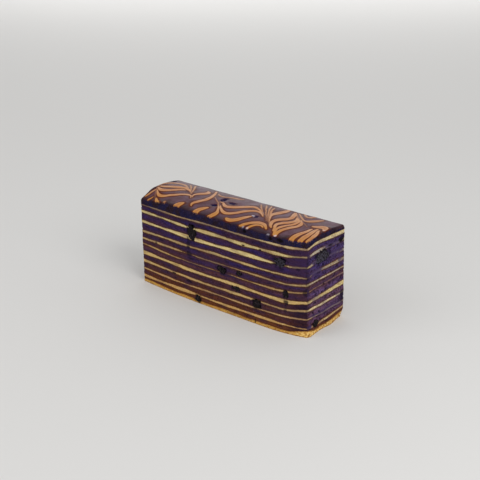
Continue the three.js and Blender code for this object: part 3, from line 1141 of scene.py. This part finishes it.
@dataclass(frozen=True)
class MarbledTop:
    """The top layer: a rounded rim, a low dome with the marbling, and dark cut sides."""

    bar: BarShape
    faces: CutFaces
    marbling: Marbling
    rim: float = 2.4
    rim_steps: int = 7
    step: float = 0.45
    side_rows: int = 13
    ripple: float = 0.3
    ripple_pitch: float = 14.0
    fine_ripple: float = 0.5
    fine_ripple_pitch: float = 6.0
    strand_height: float = 0.14
    strand_edge: Span = (-0.5, 0.5)
    crumb: float = 0.6
    crumb_edge: float = 0.8
    back_rim: float = 4.0
    back_rim_span: Span = (10.0, 26.0)
    tiny: float = 0.01
    node: str = "marbled_top"

    def spread(self, span: float) -> Array:
        """Places grid lines over a span, close together over the rim at both ends.

        Args:
            span: Distance from edge to edge.

        Returns:
            Distances from the first edge.
        """
        angle = np.linspace(0, math.pi / 2, self.rim_steps + 1)
        over_rim = self.rim * (1 - np.cos(angle))
        count = round((span - 2 * self.rim) / self.step)
        flat = np.linspace(self.rim, span - self.rim, count + 1)[1:-1]
        return np.concatenate([over_rim, flat, (span - over_rim)[::-1]])

    def start_grid(self, columns: int, rows: int) -> bpy.types.Object:
        """Adds a flat grid, draws its border down into sides and closes it below.

        Args:
            columns: Squares along the bar.
            rows: Squares across it.

        Returns:
            The box, 2 by 2, with rows 1 apart down its sides.
        """
        deselect()
        bpy.ops.mesh.primitive_grid_add(x_subdivisions=columns, y_subdivisions=rows, size=2)
        piece = bpy.context.object
        piece.name = "marbled_crown"
        bpy.ops.object.mode_set(mode="EDIT")
        bpy.ops.mesh.select_all(action="SELECT")
        bpy.ops.mesh.region_to_loop()
        draw_and_close(self.side_rows, -1)
        return piece

    def plan_of(self, along: Array, across: Array) -> Plan:
        """Fits grid places to the rounded plan.

        Args:
            along: Distances from the left edge, before the corners are rounded.
            across: Distances from the front edge.

        Returns:
            Points in plan, with the way out to the nearest edge.
        """
        bar = self.bar
        y = across - bar.half_width
        left = np.where(y < 0, bar.front_left, bar.back_left)
        right = np.where(y < 0, bar.front_right, bar.back_right)
        edge = bar.half_width - np.abs(y)
        cut_left = left - np.sqrt(left ** 2 - np.clip(left - edge, 0, left) ** 2)
        cut_right = right - np.sqrt(right ** 2 - np.clip(right - edge, 0, right) ** 2)
        low = -bar.half_length + cut_left
        high = bar.half_length - cut_right
        x = blend(low, high, along / bar.length)
        out_x = bar.edge_distance(x - self.tiny, y) - bar.edge_distance(x + self.tiny, y)
        out_y = bar.edge_distance(x, y - self.tiny) - bar.edge_distance(x, y + self.tiny)
        size = np.maximum(np.hypot(out_x, out_y), NEAR_NOTHING)
        return Plan(x, y, out_x / size, out_y / size)

    def build(self) -> bpy.types.Object:
        """Models the top layer.

        Returns:
            The piece, with marks for its finish to read.
        """
        bar = self.bar
        lines_x = self.spread(bar.length)
        lines_y = self.spread(bar.width)
        piece = self.start_grid(len(lines_x) - 1, len(lines_y) - 1)
        start = read_places(piece)
        column = np.round((start[:, 0] + 1) / 2 * (len(lines_x) - 1)).astype(int)
        row = np.round((start[:, 1] + 1) / 2 * (len(lines_y) - 1)).astype(int)
        down = -np.round(start[:, 2]) / self.side_rows
        plan = self.plan_of(lines_x[column], lines_y[row])
        edge = bar.edge_distance(plan.x, plan.y)
        inset = np.clip(edge, 0, self.rim)
        over = self.rim - np.sqrt(np.maximum(self.rim ** 2 - (self.rim - inset) ** 2, 0))
        on_top = ease(inset, 0.0, self.rim)
        eased = bar.settle(plan.x, plan.y, np.full_like(plan.x, bar.crown)) / MM
        strand, tone = self.marbling.strands(eased[:, 0], eased[:, 1])
        sunk, dark, wet = self.marbling.hollows(eased[:, 0], eased[:, 1])
        points = np.stack([plan.x, plan.y, np.zeros_like(plan.x)], axis=1)
        fine = grain(points, self.fine_ripple_pitch, Lumps.FINE_RIPPLE)
        ripple = grain(points, self.ripple_pitch, Lumps.RIPPLE) + self.fine_ripple * fine
        raised = self.strand_height * ease(strand, *self.strand_edge)
        dome = self.ripple * ripple + raised - sunk
        crest = bar.top_height(plan.x, plan.y) - over + dome * on_top
        foot = bar.surface_height(TOP_SURFACE - 1, plan.x, plan.y)
        z = blend(crest, foot, down)
        crumbly = self.crumb * (1 - on_top) * ease(z - foot, 0.0, self.crumb_edge)
        # The cut sides of the top take painted shade in their pits, like the layers below
        depth, stain, _ = self.faces.read(plan, z, crumbly)
        depth = depth * (1 - on_top)
        x = plan.x - plan.nx * depth
        y = plan.y - plan.ny * depth
        write_places(piece, bar.settle(x, y, z))
        inward = edge + self.back_rim * ease(plan.y, *self.back_rim_span)
        rim = np.where(down > 0, -down * (crest - foot), inward)
        flat = (down == 0) * on_top
        write_marks(
            piece, strand=strand, tone=tone, rim=rim, stain=stain * (1 - on_top),
            dark=dark * flat, wet=wet * flat,
        )
        return piece


@dataclass(frozen=True)
class PruneFlesh:
    """A moist piece of prune, cut through where it shows."""

    bar: BarShape
    prune: Prune
    number: int
    fineness: int = 5
    lumps: float = 0.16
    lump_turns: Span = (2.6, 2.2)
    sunk: float = 0.3
    wrinkle: float = 0.55
    wrinkle_pitch: float = 1.9
    fine_wrinkle: float = 0.3
    fine_wrinkle_share: float = 0.4

    @property
    def node(self) -> str:
        """Name of the solid that this piece stands for."""
        return f"prune_{self.number + 1:02d}"

    def place(self) -> Array:
        """Finds the middle of the piece on its face.

        Returns:
            The point, in metres.
        """
        out_x, out_y = self.prune.face.value
        x = out_x * self.bar.half_length if out_x else self.prune.along
        y = out_y * self.bar.half_width if out_y else self.prune.along
        return self.bar.settle(np.array([x]), np.array([y]), np.array([self.prune.height]))[0]

    def build(self) -> bpy.types.Object:
        """Models the piece of prune in its pocket.

        Returns:
            The piece, in place.
        """
        prune = self.prune
        deselect()
        bpy.ops.mesh.primitive_ico_sphere_add(subdivisions=self.fineness, radius=1.0)
        piece = bpy.context.object
        piece.name = f"flesh_{self.node}"
        ball = read_places(piece)
        phase = FULL_TURN * chance(self.number, Draw.PRUNE_LUMPS)
        turn_x, turn_z = self.lump_turns
        wave = np.sin(turn_x * ball[:, 0] + phase) * np.cos(turn_z * ball[:, 2] + 2 * phase)
        ball = ball * (1 + self.lumps * wave)[:, None]
        lump = ball * np.array([prune.wide, prune.depth, prune.tall])
        folds_from = Lumps.PRUNE + self.number
        folds = np.abs(grain(lump, self.wrinkle_pitch, folds_from))
        fine = grain(lump, self.fine_wrinkle_share * self.wrinkle_pitch, folds_from + 1)
        cut = self.sunk + self.wrinkle * (folds + self.fine_wrinkle * fine)
        lump[:, 1] = np.maximum(lump[:, 1], cut)
        turn = np.array(Matrix.Rotation(prune.face.turn, 3, "Z"))
        write_places(piece, lump * MM @ turn.T + self.place())
        write_marks(piece, pale=np.full(len(lump), prune.pale))
        return piece


def set_inputs(tree: bpy.types.NodeTree, node: bpy.types.Node, inputs: dict) -> None:
    """Sets sockets of a node.

    Args:
        tree: The material's node tree.
        node: The node.
        inputs: Socket names or numbers, each with a value or with the socket to link.
    """
    for name, value in inputs.items():
        if isinstance(value, bpy.types.NodeSocket):
            tree.links.new(value, node.inputs[name])
        else:
            node.inputs[name].default_value = value


def add_node(
    tree: bpy.types.NodeTree, kind: str, inputs: dict | None = None, **settings: object
) -> bpy.types.Node:
    """Adds a shader node with its settings, values and links.

    Args:
        tree: The material's node tree.
        kind: The node's type, after "ShaderNode".
        inputs: Its sockets, as set_inputs takes them.
        settings: The node's own properties.

    Returns:
        The node.
    """
    node = tree.nodes.new(f"ShaderNode{kind}")
    for name, value in settings.items():
        setattr(node, name, value)
    set_inputs(tree, node, inputs or {})
    return node


def new_finish(name: str) -> tuple[bpy.types.Material, bpy.types.NodeTree, bpy.types.Node]:
    """Starts a material.

    Args:
        name: What the real material is.

    Returns:
        The material, its node tree and its main shader.
    """
    material = bpy.data.materials.new(name)
    material.use_nodes = True
    tree = material.node_tree
    return material, tree, tree.nodes["Principled BSDF"]


def colour_steps(node: bpy.types.Node, steps: dict[float, str]) -> None:
    """Sets the colours of a colour ramp.

    Args:
        node: The ramp.
        steps: Places from 0 to 1, each with its colour.
    """
    ramp = node.color_ramp
    while len(ramp.elements) < len(steps):
        ramp.elements.new(1.0)
    for element, (place, colour) in zip(ramp.elements, sorted(steps.items())):
        element.position = place
        element.color = linear(colour)


@dataclass(frozen=True)
class SpongeFinish:
    """Cut butter sponge: matte, with pores, streaks along the layer and browned edges.

    Baked sponge scatters light evenly, so it has no shine, and its colour comes in soft
    streaks. The knife wipes the long faces smooth, while the ends show fresh torn crumb. The
    grill browns the top of each layer before the next one is poured. Colour ramps go by
    height. Real pores are well under a millimetre, and they are drawn coarser so that they
    show.
    """

    name: str
    cut: Ramp
    torn: Ramp
    deep: str
    pale: str
    browned: Ramp
    smeared: str
    smeared_torn: str
    warm: Ramp
    cool: Ramp
    # Colour of the painted shade in pits, near the corners and round the prune pockets
    stained: str = "#120b10"
    top: float = 84.0
    flow: tuple[float, float, float] = (0.4, 0.4, 2.0)
    streak: float = 3.5
    drift: float = 8.0
    pore: float = 1.3
    warm_span: Span = (0.48, 0.34)
    cool_span: Span = (0.5, 0.66)
    streak_span: Span = (0.48, 0.72)
    deep_span: Span = (0.42, 0.25)
    pale_span: Span = (0.55, 0.78)
    detail: float = 3.0
    streak_detail: float = 4.0
    deep_share: float = 0.7
    pale_share: float = 0.45
    drift_share: float = 0.5
    torn_contrast: float = 1.1
    browned_width: float = 0.65
    browned_above: float = 0.85
    browned_below: float = 0.7
    roughness: float = 0.9
    specular: float = 0.1
    bump: float = 0.5
    bump_depth: float = 0.5

    def material(self) -> bpy.types.Material:
        """Makes the material.

        Returns:
            The material, which reads the layer's own marks.
        """
        material, tree, shader = new_finish(self.name)
        place = add_node(tree, "TexCoord").outputs["Object"]
        marks = {
            name: add_node(tree, "Attribute", attribute_name=name).outputs["Fac"]
            for name in ("torn", "drop", "rise", "smear", "stain")
        }
        height = add_node(tree, "SeparateXYZ", {0: place}).outputs["Z"]
        level = add_node(tree, "MapRange", {"Value": height, "From Max": self.top * MM})
        tones = []
        for steps in (self.cut, self.torn, self.warm, self.cool, self.browned):
            ramp = add_node(tree, "ValToRGB", {0: level.outputs[0]})
            colour_steps(ramp, {z / self.top: colour for z, colour in steps})
            tones.append(ramp.outputs[0])
        colour, torn, warm, cool, browned = tones
        drawn = add_node(tree, "Mapping", {"Vector": place, "Scale": self.flow}).outputs[0]
        noises = []
        for way, size, detail in (
            (drawn, self.drift, self.detail),
            (drawn, self.streak, self.streak_detail),
            (place, self.pore, self.detail),
        ):
            sizes = {"Vector": way, "Scale": 1 / (size * MM), "Detail": detail}
            noises.append(add_node(tree, "TexNoise", sizes).outputs[0])
        drifts, streaks, pores = noises
        about = add_node(tree, "Math", {0: pores, 1: -NOISE_MIDDLE}, operation="ADD")
        rough = add_node(
            tree, "Math", {0: marks["torn"], 1: self.torn_contrast, 2: 1.0},
            operation="MULTIPLY_ADD",
        )
        crumbs = add_node(
            tree, "Math", {0: about.outputs[0], 1: rough.outputs[0], 2: NOISE_MIDDLE},
            operation="MULTIPLY_ADD",
        ).outputs[0]
        deep, pale = linear(self.deep), linear(self.pale)
        wiped = {MIX_UNDER: linear(self.smeared), MIX_OVER: linear(self.smeared_torn)}
        wiped[MIX_SHARE] = marks["torn"]
        smeared = add_node(tree, "Mix", wiped, data_type="RGBA").outputs[MIX_RESULT]
        coats = [(marks["torn"], torn)]
        for source, (low, high), most, tint in (
            (drifts, self.warm_span, self.drift_share, warm),
            (drifts, self.cool_span, self.drift_share, cool),
            (streaks, self.streak_span, self.deep_share, deep),
            (crumbs, self.deep_span, self.deep_share, deep),
            (crumbs, self.pale_span, self.pale_share, pale),
        ):
            ends = {"Value": source, "From Min": low, "From Max": high, "To Max": most}
            coats.append((add_node(tree, "MapRange", ends).outputs[0], tint))
        for mark, most in (("drop", self.browned_above), ("rise", self.browned_below)):
            ends = {"Value": marks[mark], "From Max": self.browned_width}
            ends |= {"To Min": most, "To Max": 0.0}
            edge = add_node(tree, "MapRange", ends, interpolation_type="SMOOTHSTEP")
            coats.append((edge.outputs[0], browned))
        # The last coat is painted shade, in torn pits, near the corners and round the prune pockets
        coats += [(marks["smear"], smeared), (marks["stain"], linear(self.stained))]
        for share, tint in coats:
            coat = {MIX_SHARE: share, MIX_UNDER: colour, MIX_OVER: tint}
            colour = add_node(tree, "Mix", coat, data_type="RGBA").outputs[MIX_RESULT]
        relief = add_node(
            tree, "Bump",
            {"Strength": self.bump, "Distance": self.bump_depth * MM, "Height": pores},
        )
        set_inputs(tree, shader, {
            "Base Color": colour, "Normal": relief.outputs[0], "Roughness": self.roughness,
            "Specular IOR Level": self.specular,
        })
        return material


# Plain butter sponge, grilled and then cut: a pale, close crumb that the knife dulls
YELLOW_SPONGE = SpongeFinish(
    name="butter_sponge",
    cut=(
        (7, "#cda262"), (14, "#bb9465"), (21, "#c8a76d"), (28, "#d6b776"), (36, "#b5935f"),
        (43, "#b4986a"), (50, "#c4a972"), (58, "#e2cd90"), (67, "#cfbc82"), (75, "#bda67c"),
    ),
    torn=(
        (7, "#a8855a"), (23, "#d9c8a4"), (31, "#c8b67e"), (36, "#c2a678"), (39, "#7a4a3c"),
        (42, "#7a4a3c"), (46, "#a69d90"), (54, "#8a7c6e"), (63, "#a09a92"), (71, "#aaa49a"),
        (79, "#d2bd88"),
    ),
    deep="#a37f4e",
    pale="#eadaa6",
    browned=((0, "#603a22"), (84, "#603a22")),
    smeared="#40283a",
    smeared_torn="#453658",
    warm=((0, "#b98248"), (84, "#bb9158")),
    cool=((0, "#cdaf74"), (84, "#d2bf90")),
    drift_share=0.3,
    deep_share=0.45,
)
# Coloured butter sponge, browned by the grill: dark and matte, browner towards the base
PURPLE_SPONGE = SpongeFinish(
    name="purple_sponge",
    cut=(
        (4, "#6b3d22"), (10, "#582d1a"), (17, "#4a2c30"), (25, "#442834"), (32, "#573439"),
        (39, "#452a3e"), (47, "#36223d"), (54, "#382445"), (62, "#39244b"), (72, "#2c1b37"),
    ),
    torn=(
        (3, "#66351a"), (8.2, "#66351a"), (10.4, "#62405a"), (16, "#674a69"), (27, "#65495f"),
        (35, "#674d78"), (38.5, "#5c3838"), (42, "#5a3636"), (45, "#523a54"), (58, "#483866"),
        (68, "#453864"), (75, "#3e2c56"),
    ),
    deep="#20132a",
    pale="#6a5080",
    browned=((4, "#582e14"), (9.5, "#522c16"), (20, "#4c2c1a"), (60, "#462a1c")),
    # Painted shade on the purple layers is a dark navy
    stained="#181126",
    browned_width=1.8,
    browned_above=0.95,
    browned_below=0.85,
    smeared="#352340",
    smeared_torn="#3f3157",
    warm=((6, "#5f331a"), (18, "#50291f"), (36, "#4e2a2c"), (60, "#44263a")),
    cool=((6, "#43262a"), (18, "#38223c"), (36, "#32224e"), (60, "#2b2162")),
    pale_share=0.3,
    drift_share=0.7,
    deep_share=0.85,
)
# The first layer, baked longest: a dense amber crumb with bright pores where it is torn
AMBER_BASE = SpongeFinish(
    name="amber_base_sponge",
    cut=((0, "#bf8c3c"), (1.5, "#cc9c4e"), (3.0, "#a9712f")),
    torn=((0, "#cc9438"), (1.5, "#e4b868"), (3.4, "#dcac5c"), (5.4, "#b67e3c"), (7.5, "#8c5a2c")),
    deep="#84501c",
    pale="#f0d68e",
    browned=((0, "#653a1a"), (84, "#653a1a")),
    smeared="#6a3f1c",
    smeared_torn="#6a431f",
    warm=((0, "#b5782e"), (84, "#b5782e")),
    cool=((0, "#c9a04e"), (84, "#c9a04e")),
    streak=2.4,
    drift_share=0.4,
    deep_share=0.75,
    pale_share=0.7,
)


@dataclass(frozen=True)
class PruneFinish:
    """Prune flesh: nearly black and moist, so it has a dim gloss, with greyish patches of painted
    sheen on some pieces.
    """

    name: str = "prune_flesh"
    dark: str = "#0a0608"
    middle: str = "#1b1417"
    light: str = "#3a2f35"
    painted_sheen: str = "#403d4a"
    tone_steps: tuple[float, float, float] = (0.35, 0.55, 0.75)
    painted_sheen_span: Span = (0.42, 0.54)
    patch: float = 1.4
    detail: float = 3.0
    roughness: float = 0.55
    specular: float = 0.08
    bump: float = 0.4
    bump_depth: float = 0.4

    def material(self) -> bpy.types.Material:
        """Makes the material.

        Returns:
            The material, which reads how pale the piece is.
        """
        material, tree, shader = new_finish(self.name)
        place = add_node(tree, "TexCoord").outputs["Object"]
        sizes = {"Vector": place, "Scale": 1 / (self.patch * MM), "Detail": self.detail}
        patches = add_node(tree, "TexNoise", sizes).outputs[0]
        flesh = add_node(tree, "ValToRGB", {0: patches})
        colour_steps(flesh, dict(zip(self.tone_steps, (self.dark, self.middle, self.light))))
        # Painted sheen: the pale mark gives some pieces greyish patches where the moist flesh
        # catches the light
        pale = add_node(tree, "Attribute", attribute_name="pale").outputs["Fac"]
        low, high = self.painted_sheen_span
        ends = {"Value": patches, "From Min": low, "From Max": high, "To Max": pale}
        painted_sheen = add_node(tree, "MapRange", ends)
        coat = {MIX_UNDER: flesh.outputs[0], MIX_OVER: linear(self.painted_sheen)}
        coat[MIX_SHARE] = painted_sheen.outputs[0]
        colour = add_node(tree, "Mix", coat, data_type="RGBA").outputs[MIX_RESULT]
        relief = add_node(
            tree, "Bump",
            {"Strength": self.bump, "Distance": self.bump_depth * MM, "Height": patches},
        )
        set_inputs(tree, shader, {
            "Base Color": colour, "Normal": relief.outputs[0], "Roughness": self.roughness,
            "Specular IOR Level": self.specular,
        })
        return material


@dataclass(frozen=True)
class MarbledFinish:
    """Baked top: chocolate ground, tan strands with dark edges and navy cut sides.

    The top is smooth and slightly greasy, so it shows a soft sheen at a low angle. The crumb of
    its cut sides is drawn coarser than the real one so that it shows.
    """

    name: str = "marbled_top_crust"
    ground: str = "#573a3f"
    ground_mauve: str = "#664b58"
    # Colour of the painted shade on the ground towards the rim
    ground_dark: str = "#28181f"
    outline: str = "#56200a"
    strand: str = "#bd8256"
    strand_pale: str = "#c99770"
    # Painted light: strands turn this more golden colour towards the front, where the top catches
    # less sheen than at the back
    strand_front: str = "#c08336"
    strand_core: str = "#ab6d42"
    faint: str = "#80543e"
    hollow: str = "#171238"
    glint: str = "#d6d0de"
    side_navy: str = "#18183a"
    side_brown: str = "#241619"
    side_pale: str = "#352a42"
    # Colour of the painted shade in the pits of the cut sides
    stained: str = "#120c12"
    patch: float = 9.0
    patch_span: Span = (0.35, 0.65)
    side_span: Span = (0.4, 0.6)
    patch_detail: float = 4.0
    crumb: float = 1.0
    crumb_detail: float = 3.0
    fleck_span: Span = (0.45, 0.8)
    shade: float = 0.85
    shade_swing: float = 7.0
    shade_span: Span = (4.5, 13.0)
    outline_span: Span = (-3.0, -0.5)
    strand_span: Span = (-0.4, 0.2)
    core: float = 0.6
    core_span: Span = (0.7, 2.0)
    front: float = 0.8
    front_span: Span = (-8.0, -24.0)
    rim_swing: float = 2.4
    rim_span: Span = (1.5, 2.8)
    roughness: float = 0.36
    side_roughness: float = 0.8
    specular: float = 0.05
    bump: float = 0.15
    bump_depth: float = 0.3

    def shares(
        self, tree: bpy.types.NodeTree, place: bpy.types.NodeSocket, patches: bpy.types.NodeSocket,
        crumbs: bpy.types.NodeSocket,
    ) -> dict[str, bpy.types.NodeSocket]:
        """Works out where each coat of colour lies.

        Args:
            tree: The material's node tree.
            place: Object coordinates.
            patches: Broad noise.
            crumbs: Fine noise.

        Returns:
            Sockets from 0 to 1, by the names of the coats, and the top's own marks.
        """
        shares = {
            name: add_node(tree, "Attribute", attribute_name=name).outputs["Fac"]
            for name in ("rim", "strand", "tone", "stain", "dark", "wet")
        }
        # Painted shade: the ground darkens towards the rim, where the dome turns down, over a reach
        # that swings with broad noise
        shade_reach, frayed = (
            add_node(
                tree, "Math", {0: source, 1: swing, 2: shares["rim"]}, operation="MULTIPLY_ADD"
            ).outputs[0]
            for source, swing in ((patches, self.shade_swing), (crumbs, self.rim_swing))
        )
        across = add_node(tree, "SeparateXYZ", {0: place}).outputs["Y"]
        strand = shares["strand"]
        front_span = [edge * MM for edge in self.front_span]
        for name, source, (low, high), least, most, way in (
            ("shaded", shade_reach, self.shade_span, self.shade, 0.0, "SMOOTHSTEP"),
            ("near", strand, self.outline_span, 0.0, shares["tone"], "SMOOTHSTEP"),
            ("fronted", across, front_span, 0.0, self.front, "SMOOTHSTEP"),
            ("core", strand, self.core_span, 0.0, self.core, "LINEAR"),
            ("within", strand, self.strand_span, 0.0, 1.0, "SMOOTHSTEP"),
            ("flecks", crumbs, self.fleck_span, 0.0, 1.0, "LINEAR"),
            ("on_top", frayed, self.rim_span, 0.0, 1.0, "SMOOTHSTEP"),
        ):
            ends = {"Value": source, "From Min": low, "From Max": high}
            ends |= {"To Min": least, "To Max": most}
            shares[name] = add_node(tree, "MapRange", ends, interpolation_type=way).outputs[0]
        return shares

    def material(self) -> bpy.types.Material:
        """Makes the material.

        Returns:
            The material, which reads the top's own marks.
        """
        material, tree, shader = new_finish(self.name)
        place = add_node(tree, "TexCoord").outputs["Object"]
        noises = []
        for size, detail in ((self.patch, self.patch_detail), (self.crumb, self.crumb_detail)):
            sizes = {"Vector": place, "Scale": 1 / (size * MM), "Detail": detail}
            noises.append(add_node(tree, "TexNoise", sizes).outputs[0])
        patches, crumbs = noises
        shares = self.shares(tree, place, patches, crumbs)
        colours = {
            name: linear(getattr(self, name))
            for name in ("ground_dark", "outline", "strand_front", "faint", "strand_core",
                         "side_pale", "stained", "hollow", "glint")
        }
        for name, span, tones in (
            ("ground", self.patch_span, (self.ground, self.ground_mauve)),
            ("strand", self.patch_span, (self.strand, self.strand_pale)),
            ("side", self.side_span, (self.side_navy, self.side_brown)),
        ):
            ramp = add_node(tree, "ValToRGB", {0: patches})
            colour_steps(ramp, dict(zip(span, tones)))
            colours[name] = ramp.outputs[0]
        # Each row names its result, a share, and the two colours that the share mixes. Some rows
        # lay painted light: shade towards the rim, golden strands at the front where the sheen is
        # less, shade in the pits of the cut sides, and white glints.
        for result, share, under, over in (
            ("ground", "shaded", "ground", "ground_dark"),
            ("ground", "near", "ground", "outline"),
            ("strand", "fronted", "strand", "strand_front"),
            ("strand", "tone", "faint", "strand"),
            ("strand", "core", "strand", "strand_core"),
            ("crust", "within", "ground", "strand"),
            ("side", "flecks", "side", "side_pale"),
            ("crust", "on_top", "side", "crust"),
            ("crust", "stain", "crust", "stained"),
            ("crust", "dark", "crust", "hollow"),
            ("crust", "wet", "crust", "glint"),
        ):
            coat = {
                MIX_SHARE: shares[share], MIX_UNDER: colours[under], MIX_OVER: colours[over]
            }
            mixed = add_node(tree, "Mix", coat, data_type="RGBA")
            colours[result] = mixed.outputs[MIX_RESULT]
        greasy = add_node(
            tree, "Math", {0: shares["on_top"], 1: shares["dark"]}, operation="SUBTRACT"
        )
        shine = add_node(
            tree, "MapRange",
            {"Value": greasy.outputs[0], "To Min": self.side_roughness, "To Max": self.roughness},
        )
        relief = add_node(
            tree, "Bump",
            {"Strength": self.bump, "Distance": self.bump_depth * MM, "Height": crumbs},
        )
        set_inputs(tree, shader, {
            "Base Color": colours["crust"], "Normal": relief.outputs[0],
            "Roughness": shine.outputs[0], "Specular IOR Level": self.specular,
        })
        return material


@dataclass(frozen=True)
class Lamp:
    """A soft lamp that faces the bar: its place and size in metres, and its power in watts."""

    name: str
    place: tuple[float, float, float]
    wide: float
    tall: float
    power: float


LAMPS = (
    Lamp("key", (1.1, -0.3, 0.95), 0.9, 0.9, 9.0),
    Lamp("fill", (-0.7, -1.1, 0.8), 1.0, 1.0, 4.0),
    Lamp("back", (-0.8, 1.05, 0.22), 1.2, 0.3, 1.8),
)


@dataclass(frozen=True)
class Studio:
    """A pale floor, soft light and a camera at the photograph's angle."""

    camera_at: tuple[float, float, float] = (655.0, -755.1, 469.3)
    camera_right: tuple[float, float, float] = (0.76019, 0.64954, -0.01458)
    camera_up: tuple[float, float, float] = (-0.23882, 0.30023, 0.92349)
    camera_back: tuple[float, float, float] = (0.60422, -0.69854, 0.38335)
    focal_pixels: float = 1294.0
    image_pixels: float = 480.0
    sensor: float = 36.0
    farthest: float = 50000.0
    floor_size: float = 6000.0
    floor_colour: str = "#dcdbd9"
    floor_roughness: float = 0.9
    sky: str = "#ffffff"
    sky_strength: float = 0.6

    def place_camera(self) -> None:
        """Adds the camera."""
        data = bpy.data.cameras.new("camera")
        data.sensor_width = self.sensor
        data.lens = self.focal_pixels / self.image_pixels * self.sensor
        data.clip_end = self.farthest * MM
        camera = bpy.data.objects.new("camera", data)
        turn = Matrix((self.camera_right, self.camera_up, self.camera_back)).transposed()
        camera.matrix_world = Matrix.Translation([c * MM for c in self.camera_at]) @ turn.to_4x4()
        bpy.context.scene.collection.objects.link(camera)
        bpy.context.scene.camera = camera

    def lay_floor(self) -> None:
        """Adds the pale floor, which is matte and so takes only a soft shadow."""
        deselect()
        bpy.ops.mesh.primitive_plane_add(size=self.floor_size * MM, location=(0, 0, 0))
        floor = bpy.context.object
        floor.name = "floor"
        material, tree, shader = new_finish("pale_floor")
        set_inputs(tree, shader, {
            "Base Color": linear(self.floor_colour), "Roughness": self.floor_roughness
        })
        floor.data.materials.append(material)

    def light(self) -> None:
        """Adds the soft lamps and the bright surroundings."""
        world = bpy.data.worlds.new("studio")
        bpy.context.scene.world = world
        world.use_nodes = True
        background = world.node_tree.nodes["Background"]
        background.inputs["Color"].default_value = linear(self.sky)
        background.inputs["Strength"].default_value = self.sky_strength
        for lamp in LAMPS:
            data = bpy.data.lights.new(lamp.name, "AREA")
            data.shape = "RECTANGLE"
            data.size = lamp.wide
            data.size_y = lamp.tall
            data.energy = lamp.power
            light = bpy.data.objects.new(lamp.name, data)
            light.location = lamp.place
            light.rotation_euler = light.location.to_track_quat("Z", "Y").to_euler()
            bpy.context.scene.collection.objects.link(light)


def main() -> None:
    """Builds the bar piece by piece, then the studio round it."""
    logging.basicConfig(level=logging.INFO, format="%(message)s")
    bpy.context.scene.view_settings.view_transform = "Standard"
    bar = BarShape()
    faces = CutFaces(bar)
    finishes = {
        "base_layer": AMBER_BASE.material(),
        "yellow_layer": YELLOW_SPONGE.material(),
        "purple_layer": PURPLE_SPONGE.material(),
    }
    for surface in range(TOP_SURFACE - 1):
        layer = SpongeLayer(bar, faces, surface)
        finish_piece(layer.build(), layer.node, finishes[layer.slot])
    top = MarbledTop(bar, faces, Marbling())
    finish_piece(top.build(), top.node, MarbledFinish().material())
    flesh = PruneFinish().material()
    for number, prune in enumerate(PRUNES):
        piece = PruneFlesh(bar, prune, number)
        finish_piece(piece.build(), piece.node, flesh)
    studio = Studio()
    studio.place_camera()
    studio.lay_floor()
    studio.light()


if __name__ == "__main__":
    main()
